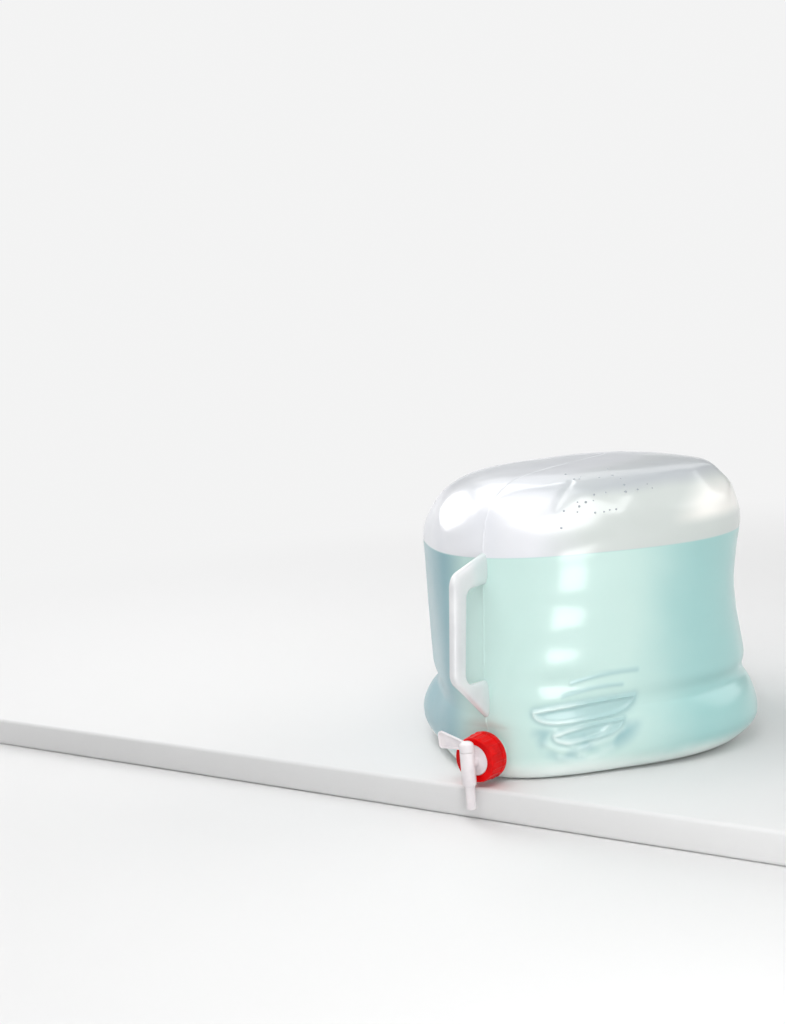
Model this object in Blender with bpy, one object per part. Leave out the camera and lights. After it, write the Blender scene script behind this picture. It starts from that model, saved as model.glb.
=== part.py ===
"""Collapsible water container with moulded grips and a quarter-turn tap.

Metres, +Z up. The origin is the middle of the flat base, on the surface that the container stands on.
The plane X = 0 is the parting line: it runs through two opposite upright corners, which carry the
grips. The tap is at the foot of the near one and points along -Y. A place's reach is its distance from
the upright axis, measured in that plane.
"""

import math
from dataclasses import dataclass

import bmesh
import bpy
from mathutils import Matrix, Vector

# Body
HALF_SIDE = 0.150  # from the axis to the middle of each face
HEIGHT = 0.272
WALL = 0.0009
PLAN_POWER = 2.6  # 2 is a circle, more is squarer
SHOULDER_START = 0.122
SHOULDER_POWER = 4.8
RIGHT_FULLNESS = 0.55  # how much squarer the shoulder is at the right corner
LEFT_FULLNESS = -0.15  # the same at the left corner, which is rounder
BASE_RADIUS = 0.018
FACE_ANGLE = math.radians(45)
FACE_TURN = 0.4  # share of a place's angle from the middle of its face by which the face turns there
COLUMNS = 52
COLUMN_CROWDING = 0.10  # how far columns move towards the corners, in radians
BASE_ROWS = 4
WALL_ROWS = 12
TOP_ROWS = 10

# Swellings of the upright corners: outward at the foot of the parting line and in the side lobes
FLARE_TOP = 0.215
FLARE_LOW = 0.045
NEAR_FLARE = 0.014
FAR_FLARE = 0.010
FLARE_SPREAD = math.radians(24)
LOBE_OUT = 0.0095
LOBE_HEIGHT = 0.062
LOBE_SPREAD = math.radians(44)
LEFT_LOBE_OUT = 0.0140
LEFT_LOBE_ANGLE = math.radians(-155)
LEFT_LOBE_SPREAD = math.radians(36)
NOTCH_DEEP = 0.0045
NOTCH_HEIGHT = 0.068
NOTCH_SPREAD = 0.009

# Crescent ribs low on the right near face
RIB_RADIUS = 0.0022
RIB_SIDES = 6
RIB_PROUD = 0.0017
CRESCENT_POINTS = 9
CRESCENT_POWER = 3.5

# Neck and its thread; the tap's axis is level
NECK_HEIGHT = 0.026
FACET_REACH = 0.175
FACET_TOP = 0.050
FACET_CEILING = math.radians(28)
NECK_END = 0.192
NECK_RADIUS = 0.0172
NECK_BORE = 0.0142
COLLAR_RADIUS = 0.0190
COLLAR_END = 0.1770
BORE_START = 0.1540
NECK_SEGMENTS = 48
PITCH = 0.0042
THREAD_TURNS = 1.5
THREAD_STEPS = 24  # each turn
THREAD_START = 0.1818
THREAD_HIGH = 0.0012
THREAD_ROOT = 0.0016
THREAD_CREST = 0.0008
THREAD_SUNK = 0.0005
THREAD_FADE = 4  # steps over which its ends rise

# Screw ring
GAP = 0.0003
RING_REAR = 0.1775
RING_FRONT = 0.1982
RING_BORE = 0.0189
RING_REAR_RADIUS = 0.0219
RING_FRONT_RADIUS = 0.0206
RING_LIP = 0.0145
RING_EDGE = 0.0014
RING_STEP_REACH = 0.1835  # where the rear band ends and the skirt begins to taper
RING_STEP_RADIUS = 0.0216
RING_RIBS = 20
RIB_HIGH = 0.0006
RING_COLUMNS = 80
RING_THREAD_HIGH = -0.0010
RING_THREAD_TURNS = 1.25
RING_THREAD_PHASE = -math.pi / 2

# Washer, flange and stub
GASKET_THICK = 0.0014
GASKET_RADIUS = 0.0170
GASKET_BORE = 0.0142
FLANGE_RADIUS = 0.0174
FLANGE_THICK = 0.0020
BOSS_RADIUS = 0.0141
BOSS_END = 0.1975
BOSS_FILLET = 0.0010
LOCATOR_RADIUS = 0.0136
LOCATOR_DEEP = 0.0040
STUB_RADIUS = 0.0052
FLOW_RADIUS = 0.0031

# Barrel and plug, about the upright axis of the valve
VALVE_REACH = 0.2077
BARREL_RADIUS = 0.0066
BARREL_TOP = NECK_HEIGHT + 0.0105
BARREL_LOW = NECK_HEIGHT - 0.0200
STEM_RADIUS = 0.00465
STEM_GAP = 0.0003
TIP = NECK_HEIGHT - 0.0425
PLUG_BORE_TOP = NECK_HEIGHT + 0.0042
WINDOW_HALF = 0.0029
HEAD_TOP = NECK_HEIGHT + 0.0205
HEAD_DOME = 0.0036
DOME_STEPS = 4
DOME_LEAN = math.radians(80)
LEVER_LENGTH = 0.0305
LEVER_ROOT_LOW = NECK_HEIGHT + 0.0122
LEVER_ROOT_TOP = NECK_HEIGHT + 0.0195
LEVER_END_LOW = NECK_HEIGHT + 0.0115
LEVER_END_TOP = NECK_HEIGHT + 0.0285
LEVER_THICK = 0.0030
LEVER_BEVEL = 0.0007
LEVER_CORNER = 0.0034
TAP_SEGMENTS = 32

# Grips, as places in the parting plane: reach and height
GRIP_THICK = 0.0100
GRIP_ROUND = 0.0034
GRIP_ROUND_STEPS = 3
GRIP_GAP = 0.0005
GRIP_TOP = 0.210
GRIP_TOP_CORNER = (0.2095, 0.198)
GRIP_LOW_CORNER = (0.2215, 0.104)
GRIP_LOW = 0.060
GRIP_INNER_TOP = 0.182
GRIP_INNER_TOP_CORNER = (0.192, 0.182)
GRIP_INNER_LOW_CORNER = (0.205, 0.096)
GRIP_INNER_LOW = 0.094
OUTER_FILLET = 0.014
INNER_FILLET = 0.011
FILLET_STEPS = 5
SEAM_STEPS = 6

# Small values that several pieces share
EDGE_BREAK = 0.0005
CUT_PAST = 0.0020  # how far a cutter runs beyond the face that it opens
SHARP_EDGE = math.radians(35)
EXACT = "EXACT"


@dataclass(frozen=True)
class Crescent:
    """A moulded rib on a face: a closed boat shape, or an open arc where it has no depth."""

    middle: float  # from the middle of the face towards the tap
    half_length: float
    top: float
    depth: float
    bow: float  # how far the top edge rises in its middle


CRESCENTS = (
    Crescent(middle=0.0325, half_length=0.0475, top=0.0600, depth=0.0150, bow=0.0010),
    Crescent(middle=0.0250, half_length=0.0310, top=0.0370, depth=0.0100, bow=0.0020),
    Crescent(middle=0.0295, half_length=0.0355, top=0.0715, depth=0.0, bow=0.0020),
    Crescent(middle=0.0145, half_length=0.0305, top=0.0830, depth=0.0, bow=0.0020),
)


def clear_scene():
    """Removes whatever the scene holds."""
    for item in list(bpy.data.objects):
        bpy.data.objects.remove(item, do_unlink=True)


def material(name, colour, roughness, metallic=0.0):
    """A plain Principled material."""
    made = bpy.data.materials.new(name)
    made.use_nodes = True
    made.diffuse_color = (*colour, 1.0)
    shader = made.node_tree.nodes["Principled BSDF"]
    shader.inputs["Base Color"].default_value = (*colour, 1.0)
    shader.inputs["Roughness"].default_value = roughness
    shader.inputs["Metallic"].default_value = metallic
    return made


def linked(name, mesh, parent=None, paint=None):
    """An object in the scene with its mesh, parent and material, shaded smooth between sharp edges."""
    made = bpy.data.objects.new(name, mesh)
    bpy.context.scene.collection.objects.link(made)
    made.parent = parent
    mesh.shade_smooth()
    mesh.set_sharp_from_angle(angle=SHARP_EDGE)
    if paint:
        mesh.materials.append(paint)
    return made


def pivot(name, place):
    """An empty on a joint's axis."""
    made = bpy.data.objects.new(name, None)
    made.location = place
    made.empty_display_size = 0.01
    bpy.context.scene.collection.objects.link(made)
    return made


def loft(name, rings, close_rings=False):
    """A closed mesh through rings of equally many points, listed anticlockwise seen from the last ring."""
    shape = bmesh.new()
    loops = [[shape.verts.new(point) for point in ring] for ring in rings]
    count = len(rings[0])
    pairs = list(zip(loops, loops[1:]))
    if close_rings:
        pairs.append((loops[-1], loops[0]))
    for low, high in pairs:
        for i in range(count):
            j = (i + 1) % count
            shape.faces.new((low[i], low[j], high[j], high[i]))
    if not close_rings:
        shape.faces.new(reversed(loops[0]))
        shape.faces.new(loops[-1])
    bmesh.ops.recalc_face_normals(shape, faces=shape.faces)
    mesh = bpy.data.meshes.new(name)
    shape.to_mesh(mesh)
    shape.free()
    return mesh


def moved(mesh, place):
    """The same mesh measured from another point, for an object whose origin is there."""
    mesh.transform(Matrix.Translation(-Vector(place)))
    return mesh


def circle_y(reach, radius, segments):
    """Points round the tap's level axis at this reach, anticlockwise seen from outside."""
    turn = 2 * math.pi / segments
    return [
        (radius * math.cos(i * turn), -reach, NECK_HEIGHT + radius * math.sin(i * turn))
        for i in range(segments)
    ]


def circle_z(height, radius, segments):
    """Points round the valve's upright axis at this height, anticlockwise seen from above."""
    turn = 2 * math.pi / segments
    return [
        (radius * math.cos(i * turn), -VALVE_REACH + radius * math.sin(i * turn), height)
        for i in range(segments)
    ]


def level_tube(name, profile, segments, hollow=False):
    """A turned piece on the tap's level axis. The profile is a list of reach and radius."""
    rings = [circle_y(reach, radius, segments) for reach, radius in profile]
    return loft(name, rings, close_rings=hollow)


def upright_rod(name, profile, segments=TAP_SEGMENTS):
    """A turned piece on the valve's upright axis. The profile is a list of height and radius."""
    return loft(name, [circle_z(height, radius, segments) for height, radius in profile])


def tool(name, mesh):
    """A shape that only adds to or cuts another one."""
    made = linked(name, mesh)
    made.hide_render = True
    made.display_type = "WIRE"
    return made


def boolean(target, other, operation):
    """Adds a Boolean modifier to the target."""
    change = target.modifiers.new(f"{operation.lower()}_{other.name}", "BOOLEAN")
    change.operation = operation
    change.solver = EXACT
    change.object = other


def smooth_step(value):
    """0 to 1 with level ends."""
    value = min(1.0, max(0.0, value))
    return value * value * (3 - 2 * value)


def bump(angle, spread):
    """1 at angle 0, falling away on both sides, for angles in radians."""
    away = math.remainder(angle, 2 * math.pi)
    return math.exp(-((away / spread) ** 2))


def corner_swell(angle, height):
    """How far the body stands out beyond its plain shape at this angle and height."""
    foot = smooth_step((FLARE_TOP - height) / (FLARE_TOP - FLARE_LOW))
    swell = NEAR_FLARE * foot * bump(angle + math.pi / 2, FLARE_SPREAD)
    swell += FAR_FLARE * foot * bump(angle - math.pi / 2, FLARE_SPREAD)
    right = bump(angle, LOBE_SPREAD)
    left = bump(angle - LEFT_LOBE_ANGLE, LEFT_LOBE_SPREAD)
    lobe = math.sin(math.pi * min(1.0, max(0.0, height / LOBE_HEIGHT)))
    notch = math.exp(-(((height - NOTCH_HEIGHT) / NOTCH_SPREAD) ** 2))
    return swell + (LOBE_OUT * right + LEFT_LOBE_OUT * left) * lobe - NOTCH_DEEP * (right + left) * notch


def body_radius(angle, height, inset=0.0):
    """The body's distance from its upright axis, or that of its shape shrunk by the inset."""
    across = angle - FACE_ANGLE
    squareness = abs(math.cos(across)) ** PLAN_POWER + abs(math.sin(across)) ** PLAN_POWER
    plan = (HALF_SIDE - inset) / squareness ** (1 / PLAN_POWER)
    rise = max(0.0, (height - SHOULDER_START) / (HEIGHT - inset - SHOULDER_START))
    fullness = 1 + RIGHT_FULLNESS * bump(angle, LOBE_SPREAD) + LEFT_FULLNESS * bump(angle - math.pi, LOBE_SPREAD)
    power = SHOULDER_POWER * fullness
    plan *= max(0.0, 1 - rise**power) ** (1 / power)
    edge = BASE_RADIUS - inset
    drop = max(0.0, edge - (height - inset))
    cut = edge - math.sqrt(max(0.0, edge**2 - drop**2))
    return plan + corner_swell(angle, height) - cut


def column_angles():
    """Angles of the body's columns, closer together at its corners than on its faces."""
    angles = []
    for i in range(COLUMNS):
        even = 2 * math.pi * i / COLUMNS
        angles.append(even - COLUMN_CROWDING * math.sin(4 * even) + math.pi)
    return angles


def row_heights(inset):
    """Heights of the body's rows, from its base up over its shoulder."""
    edge = BASE_RADIUS - inset
    quarter = math.pi / 2
    heights = [inset + edge * (1 - math.cos(quarter * i / BASE_ROWS)) for i in range(BASE_ROWS)]
    step = (SHOULDER_START - BASE_RADIUS) / WALL_ROWS
    heights += [BASE_RADIUS + step * i for i in range(WALL_ROWS)]
    top = HEIGHT - inset - SHOULDER_START
    for i in range(TOP_ROWS):
        lean = quarter * (1 - (1 - i / TOP_ROWS) ** 2)
        heights.append(SHOULDER_START + top * math.sin(lean) ** (2 / SHOULDER_POWER))
    return heights


def body_mesh(name, inset=0.0):
    """The body's rounded block, closed by a flat base and a fan at its top."""
    angles = column_angles()
    shape = bmesh.new()
    loops = []
    for height in row_heights(inset):
        loop = []
        for angle in angles:
            radius = body_radius(angle, height, inset)
            loop.append(shape.verts.new((radius * math.cos(angle), radius * math.sin(angle), height)))
        loops.append(loop)
    peak = shape.verts.new((0, 0, HEIGHT - inset))
    for low, high in zip(loops, loops[1:]):
        for i in range(COLUMNS):
            j = (i + 1) % COLUMNS
            shape.faces.new((low[i], low[j], high[j], high[i]))
    for i in range(COLUMNS):
        shape.faces.new((loops[-1][i], loops[-1][(i + 1) % COLUMNS], peak))
    shape.faces.new(reversed(loops[0]))
    bmesh.ops.recalc_face_normals(shape, faces=shape.faces)
    mesh = bpy.data.meshes.new(name)
    shape.to_mesh(mesh)
    shape.free()
    return mesh


def box_mesh(name, low, high):
    """A plain box between two corners."""
    shape = bmesh.new()
    bmesh.ops.create_cube(shape, size=1.0)
    middle = (Vector(low) + Vector(high)) / 2
    sizes = Vector(high) - Vector(low)
    for vertex in shape.verts:
        vertex.co = Vector(a * b for a, b in zip(vertex.co, sizes)) + middle
    mesh = bpy.data.meshes.new(name)
    shape.to_mesh(mesh)
    shape.free()
    return mesh


def facet_mesh(name, inset=0.0):
    """The recess at the foot of the near corner: a flat wall for the neck under a sloping ceiling."""
    deep = HALF_SIDE
    back = -(FACET_REACH - inset)
    front = back - deep
    top = FACET_TOP + inset
    outline = [(back, -deep), (back, top), (front, top + deep * math.tan(FACET_CEILING)), (front, -deep)]
    rings = [[(side * deep, y, height) for y, height in outline] for side in (-1, 1)]
    return loft(name, rings)


def on_face(along, height):
    """The place on the right near face this far from its middle towards the tap, and the way out of the wall."""
    lean = 0.0
    middle = -math.pi / 4
    for _ in range(8):
        radius = body_radius(middle - lean, height)
        lean = math.asin(along / radius)
    angle = middle - lean
    place = Vector((radius * math.cos(angle), radius * math.sin(angle), height))
    facing = angle + lean * FACE_TURN
    out = Vector((math.cos(facing), math.sin(facing), 0))
    return place, out


def crescent_path(rib):
    """Places on the face along one rib, as distance from the face's middle and height."""
    path = []
    for i in range(CRESCENT_POINTS):
        part = 1 - 2 * i / (CRESCENT_POINTS - 1)
        lift = rib.bow * (1 - part**2)
        path.append((rib.middle + rib.half_length * part, rib.top + lift))
    if rib.depth:
        for i in range(1, CRESCENT_POINTS + 1):
            part = math.cos(math.pi * i / (CRESCENT_POINTS + 1))
            fall = math.sqrt(1 - abs(part) ** CRESCENT_POWER)
            path.append((rib.middle - rib.half_length * part, rib.top - rib.depth * fall))
    return path


def rib_mesh(name, rib):
    """A round rib that follows its path over the face."""
    path = crescent_path(rib)
    closed = rib.depth > 0
    spots = [on_face(along, height) for along, height in path]
    rings = []
    for i, (place, out) in enumerate(spots):
        before = spots[i - 1][0] if closed or i else place
        after = spots[(i + 1) % len(spots)][0] if closed or i + 1 < len(spots) else place
        ahead = (after - before).normalized()
        up = out.cross(ahead).normalized()
        flat = ahead.cross(up)
        centre = place + out * (RIB_PROUD - RIB_RADIUS)
        ring = []
        for k in range(RIB_SIDES):
            turn = 2 * math.pi * k / RIB_SIDES
            ring.append(centre + RIB_RADIUS * (math.cos(turn) * flat + math.sin(turn) * up))
        rings.append(ring)
    return loft(name, rings, close_rings=closed)


def thread_mesh(name, radius, high, start, turns, phase):
    """A ridge that climbs its pitch each turn, right-handed, with ends that fade out.

    The radius is that of the wall it stands on. A negative height points inwards.
    """
    steps = round(turns * THREAD_STEPS)
    sunk = -math.copysign(THREAD_SUNK, high)
    rings = []
    for i in range(steps + 1):
        turn = 2 * math.pi * i / THREAD_STEPS
        fade = min(1.0, (i + 0.4) / THREAD_FADE, (steps - i + 0.4) / THREAD_FADE)
        crest = radius + high * fade
        reach = start + PITCH * i / THREAD_STEPS
        outline = (
            (radius + sunk, -THREAD_ROOT / 2),
            (crest, -THREAD_CREST / 2),
            (crest, THREAD_CREST / 2),
            (radius + sunk, THREAD_ROOT / 2),
        )
        angle = turn + phase
        rings.append([
            (out * math.cos(angle), -(reach + along), NECK_HEIGHT + out * math.sin(angle))
            for out, along in outline
        ])
    return loft(name, rings)


def make_shell(paint):
    """The thin-walled body with its foot recess, threaded neck and crescent ribs."""
    shell = linked("container_shell", body_mesh("container_shell"), paint=paint)
    for number, rib in enumerate(CRESCENTS):
        name = f"rib_{number}"
        boolean(shell, tool(name, rib_mesh(name, rib)), "UNION")
    boolean(shell, tool("facet_cut", facet_mesh("facet_cut")), "DIFFERENCE")
    root = FACET_REACH - 2 * WALL
    neck = [
        (root, COLLAR_RADIUS),
        (COLLAR_END - EDGE_BREAK, COLLAR_RADIUS),
        (COLLAR_END, COLLAR_RADIUS - EDGE_BREAK),
        (COLLAR_END, NECK_RADIUS),
        (NECK_END - EDGE_BREAK, NECK_RADIUS),
        (NECK_END, NECK_RADIUS - EDGE_BREAK),
    ]
    boolean(shell, tool("neck", level_tube("neck", neck, NECK_SEGMENTS)), "UNION")
    thread = thread_mesh("neck_thread", NECK_RADIUS, THREAD_HIGH, THREAD_START, THREAD_TURNS, 0.0)
    boolean(shell, tool("neck_thread", thread), "UNION")
    inside = tool("inside", body_mesh("inside", WALL))
    boolean(inside, tool("inner_facet_cut", facet_mesh("inner_facet_cut", WALL)), "DIFFERENCE")
    boolean(shell, inside, "DIFFERENCE")
    bore = [(BORE_START, NECK_BORE), (NECK_END + CUT_PAST, NECK_BORE)]
    boolean(shell, tool("neck_bore", level_tube("neck_bore", bore, NECK_SEGMENTS)), "DIFFERENCE")
    return shell


def filleted(points, radii):
    """A chain of places with each inner corner rounded to its radius."""
    chain = [Vector(points[0])]
    for before, corner, after, radius in zip(points, points[1:], points[2:], radii):
        corner = Vector(corner)
        back = (Vector(before) - corner).normalized()
        ahead = (Vector(after) - corner).normalized()
        half = back.angle(ahead) / 2
        reach = radius / math.tan(half)
        middle = corner + (back + ahead).normalized() * (radius / math.sin(half))
        start = corner + back * reach - middle
        turn = back.angle_signed(-ahead)
        for i in range(FILLET_STEPS + 1):
            spin = Matrix.Rotation(-turn * i / FILLET_STEPS, 2)
            chain.append(middle + spin @ start)
    chain.append(Vector(points[-1]))
    return chain


def seam_reach(angle, height):
    """Where a grip ends, just clear of the body's corner."""
    return body_radius(angle, height) + GRIP_GAP


def grip_mesh(name, side):
    """A C-shaped grip in the parting plane with rounded edges. The side is -1 near, 1 far."""
    corner = side * math.pi / 2
    outer = filleted(
        [(seam_reach(corner, GRIP_TOP), GRIP_TOP), GRIP_TOP_CORNER, GRIP_LOW_CORNER,
         (seam_reach(corner, GRIP_LOW), GRIP_LOW)],
        [OUTER_FILLET, OUTER_FILLET],
    )
    inner = filleted(
        [(seam_reach(corner, GRIP_INNER_LOW), GRIP_INNER_LOW), GRIP_INNER_LOW_CORNER,
         GRIP_INNER_TOP_CORNER, (seam_reach(corner, GRIP_INNER_TOP), GRIP_INNER_TOP)],
        [INNER_FILLET, INNER_FILLET],
    )

    def seam(start, end):
        heights = [start + (end - start) * i / SEAM_STEPS for i in range(1, SEAM_STEPS)]
        return [Vector((seam_reach(corner, height), height)) for height in heights]

    outline = outer + seam(GRIP_LOW, GRIP_INNER_LOW) + inner + seam(GRIP_INNER_TOP, GRIP_TOP)
    shape = bmesh.new()
    half = GRIP_THICK / 2
    near = [shape.verts.new((-half, side * reach, height)) for reach, height in outline]
    far = [shape.verts.new((half, side * reach, height)) for reach, height in outline]
    count = len(outline)
    for i in range(count):
        j = (i + 1) % count
        shape.faces.new((near[i], near[j], far[j], far[i]))
    shape.faces.new(near)
    shape.faces.new(reversed(far))
    bmesh.ops.recalc_face_normals(shape, faces=shape.faces)
    grip_edges = set()
    spans = ((0, len(outer) - 1), (len(outer) + SEAM_STEPS - 1, len(outer) + SEAM_STEPS + len(inner) - 2))
    for loop in (near, far):
        for first, last in spans:
            for i in range(first, last):
                grip_edges.add(shape.edges.get((loop[i], loop[i + 1])))
    bmesh.ops.bevel(
        shape, geom=list(grip_edges), offset=GRIP_ROUND, offset_type="OFFSET", segments=GRIP_ROUND_STEPS,
        profile=0.5, affect="EDGES", clamp_overlap=False,
    )
    mesh = bpy.data.meshes.new(name)
    shape.to_mesh(mesh)
    shape.free()
    return mesh


def ring_radius(base, angle):
    """The ring's outside with its grip ribs."""
    wave = max(0.0, math.cos(RING_RIBS * angle))
    return base + RIB_HIGH * math.sqrt(wave)


def make_ring(paint, parent, place):
    """The screw ring: a ribbed skirt, a front lip and an inside thread."""
    skirt = RING_FRONT - RING_EDGE
    lip_back = NECK_END + GAP + GASKET_THICK + GAP + FLANGE_THICK + GAP
    profile = [
        (RING_REAR, RING_BORE, False),
        (RING_REAR, RING_REAR_RADIUS - EDGE_BREAK, False),
        (RING_REAR + EDGE_BREAK, RING_REAR_RADIUS, True),
        (RING_STEP_REACH, RING_STEP_RADIUS, True),
        (skirt, RING_FRONT_RADIUS, True),
        (RING_FRONT - EDGE_BREAK, RING_FRONT_RADIUS - EDGE_BREAK, False),
        (RING_FRONT, RING_FRONT_RADIUS - RING_EDGE, False),
        (RING_FRONT, RING_LIP + EDGE_BREAK, False),
        (RING_FRONT - EDGE_BREAK, RING_LIP, False),
        (lip_back, RING_LIP, False),
        (lip_back, RING_BORE, False),
    ]
    turn = 2 * math.pi / RING_COLUMNS
    rings = []
    for reach, radius, ribbed in profile:
        ring = []
        for i in range(RING_COLUMNS):
            out = ring_radius(radius, i * turn) if ribbed else radius
            ring.append((out * math.cos(i * turn), -reach, NECK_HEIGHT + out * math.sin(i * turn)))
        rings.append(ring)
    mesh = loft("cap_ring", rings, close_rings=True)
    ring = linked("cap_ring", moved(mesh, place), parent, paint)
    start = THREAD_START + PITCH * (0.5 + RING_THREAD_PHASE / (2 * math.pi))
    thread = thread_mesh(
        "ring_thread", RING_BORE, RING_THREAD_HIGH, start, RING_THREAD_TURNS, RING_THREAD_PHASE
    )
    boolean(ring, tool("ring_thread", thread), "UNION")
    return ring


def make_gasket(paint, parent, place):
    """The flat washer on the neck's rim."""
    back = NECK_END + GAP
    front = back + GASKET_THICK
    profile = [(back, GASKET_BORE), (back, GASKET_RADIUS), (front, GASKET_RADIUS), (front, GASKET_BORE)]
    mesh = level_tube("neck_gasket", profile, NECK_SEGMENTS, hollow=True)
    return linked("neck_gasket", moved(mesh, place), parent, paint)


def make_spigot(paint, parent, place):
    """The flange with its locating step, front boss, stub and open upright barrel."""
    flange = NECK_END + 2 * GAP + GASKET_THICK
    profile = [
        (flange - LOCATOR_DEEP, LOCATOR_RADIUS - EDGE_BREAK),
        (flange - LOCATOR_DEEP + EDGE_BREAK, LOCATOR_RADIUS),
        (flange, LOCATOR_RADIUS),
        (flange, FLANGE_RADIUS),
        (flange + FLANGE_THICK, FLANGE_RADIUS),
        (flange + FLANGE_THICK, BOSS_RADIUS),
        (BOSS_END - EDGE_BREAK, BOSS_RADIUS),
        (BOSS_END, BOSS_RADIUS - EDGE_BREAK),
        (BOSS_END, STUB_RADIUS + BOSS_FILLET),
        (BOSS_END + BOSS_FILLET, STUB_RADIUS),
        (VALVE_REACH, STUB_RADIUS),
    ]
    mesh = level_tube("spigot_body", profile, NECK_SEGMENTS)
    body = linked("spigot_body", moved(mesh, place), parent, paint)
    barrel = upright_rod("barrel", [
        (BARREL_LOW, BARREL_RADIUS - EDGE_BREAK),
        (BARREL_LOW + EDGE_BREAK, BARREL_RADIUS),
        (BARREL_TOP, BARREL_RADIUS),
    ])
    boolean(body, tool("barrel", barrel), "UNION")
    bore = STEM_RADIUS + STEM_GAP
    hole = upright_rod("barrel_bore", [(BARREL_LOW - CUT_PAST, bore), (BARREL_TOP + CUT_PAST, bore)])
    boolean(body, tool("barrel_bore", hole), "DIFFERENCE")
    start = flange - LOCATOR_DEEP - CUT_PAST
    way = level_tube("flow_bore", [(start, FLOW_RADIUS), (VALVE_REACH, FLOW_RADIUS)], TAP_SEGMENTS)
    boolean(body, tool("flow_bore", way), "DIFFERENCE")
    return body


def lever_mesh(name):
    """A flat paddle that widens away from the valve, with rounded end corners."""
    low_start = (0.0, LEVER_ROOT_LOW)
    top_start = (0.0, LEVER_ROOT_TOP)
    outline = filleted(
        [low_start, (-LEVER_LENGTH, LEVER_END_LOW), (-LEVER_LENGTH, LEVER_END_TOP), top_start],
        [LEVER_CORNER, LEVER_CORNER],
    )
    half = LEVER_THICK / 2
    rings = []
    centre = sum(outline, Vector((0, 0))) / len(outline)
    offsets = ((-half, LEVER_BEVEL), (LEVER_BEVEL - half, 0), (half - LEVER_BEVEL, 0), (half, LEVER_BEVEL))
    for offset, shrink in offsets:
        ring = []
        for point in outline:
            pull = (centre - point).normalized() * shrink
            x, height = point + pull
            ring.append((x, -VALVE_REACH + offset, height))
        rings.append(ring)
    return loft(name, rings)


def make_plug(paint, parent, place):
    """The hollow rotor: domed head with its lever, stem with a side window, and the nozzle."""
    profile = [(TIP, STEM_RADIUS - EDGE_BREAK), (TIP + EDGE_BREAK, STEM_RADIUS)]
    profile += [(BARREL_TOP + GAP, STEM_RADIUS), (BARREL_TOP + GAP, BARREL_RADIUS)]
    side_top = HEAD_TOP - HEAD_DOME
    for i in range(DOME_STEPS + 1):
        lean = DOME_LEAN * i / DOME_STEPS
        profile.append((side_top + HEAD_DOME * math.sin(lean), BARREL_RADIUS * math.cos(lean)))
    mesh = upright_rod("valve_plug", profile)
    plug = linked("valve_plug", moved(mesh, place), parent, paint)
    boolean(plug, tool("lever", lever_mesh("lever")), "UNION")
    bore = upright_rod("plug_bore", [
        (TIP - CUT_PAST, FLOW_RADIUS),
        (PLUG_BORE_TOP, FLOW_RADIUS),
    ])
    boolean(plug, tool("plug_bore", bore), "DIFFERENCE")
    window = box_mesh(
        "window",
        (0.0, -VALVE_REACH - WINDOW_HALF, NECK_HEIGHT - WINDOW_HALF),
        (STEM_RADIUS + CUT_PAST, -VALVE_REACH + WINDOW_HALF, NECK_HEIGHT + WINDOW_HALF),
    )
    boolean(plug, tool("window", window), "DIFFERENCE")
    return plug


def main():
    """Builds every piece."""
    clear_scene()
    milky = material("polyethylene", (0.80, 0.84, 0.85), 0.35)
    red = material("red_plastic", (0.80, 0.02, 0.02), 0.25)
    white = material("white_plastic", (0.86, 0.86, 0.88), 0.25)
    rubber = material("washer_rubber", (0.62, 0.62, 0.60), 0.6)
    make_shell(milky)
    linked("front_handle", grip_mesh("front_handle", -1), paint=milky)
    linked("rear_handle", grip_mesh("rear_handle", 1), paint=milky)
    neck_place = (0.0, -NECK_END, NECK_HEIGHT)
    valve_place = (0.0, -VALVE_REACH, NECK_HEIGHT)
    neck_pivot = pivot("neck_axis", neck_place)
    valve_pivot = pivot("valve_axis", valve_place)
    make_gasket(rubber, neck_pivot, neck_place)
    make_spigot(white, neck_pivot, neck_place)
    make_ring(red, neck_pivot, neck_place)
    make_plug(white, valve_pivot, valve_place)


main()
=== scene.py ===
"""Looks of the collapsible water container.

Metres, +Z up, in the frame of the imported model: the origin is the middle of the flat base, the tap points
along -Y, and the parting plane through both grips is X = 0. A place's reach is its distance from the
upright axis, measured in that plane.
"""

import logging
import math
from dataclasses import dataclass, fields, replace
from enum import Enum
from typing import Any, Callable, Optional, Sequence, Union

import bmesh
import bpy
from mathutils import Matrix, Quaternion, Vector


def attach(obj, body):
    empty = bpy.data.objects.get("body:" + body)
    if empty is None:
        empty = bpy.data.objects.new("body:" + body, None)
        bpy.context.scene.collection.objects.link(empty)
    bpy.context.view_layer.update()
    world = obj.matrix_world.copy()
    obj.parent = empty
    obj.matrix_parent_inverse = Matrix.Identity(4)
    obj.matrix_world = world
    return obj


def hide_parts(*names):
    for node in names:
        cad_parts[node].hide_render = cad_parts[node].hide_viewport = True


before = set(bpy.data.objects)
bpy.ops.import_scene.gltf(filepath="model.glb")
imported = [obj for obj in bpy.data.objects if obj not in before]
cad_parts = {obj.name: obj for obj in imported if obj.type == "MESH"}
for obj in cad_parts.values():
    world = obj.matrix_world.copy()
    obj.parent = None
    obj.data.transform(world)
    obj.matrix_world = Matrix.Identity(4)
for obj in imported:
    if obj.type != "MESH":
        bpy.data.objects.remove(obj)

LOG = logging.getLogger("water_container")
SHARP_EDGE = math.radians(35)
QUARTER = math.pi / 2
# Turns x + y into the distance along the right near face, away from the tap.
DIAGONAL = math.sqrt(0.5)

Colour = tuple[float, float, float]
Place = tuple[float, float]
Point = tuple[float, float, float]
# Where a smooth rise starts and ends, then its results there unless they are 0 and 1.
Rise = tuple[float, ...]


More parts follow.
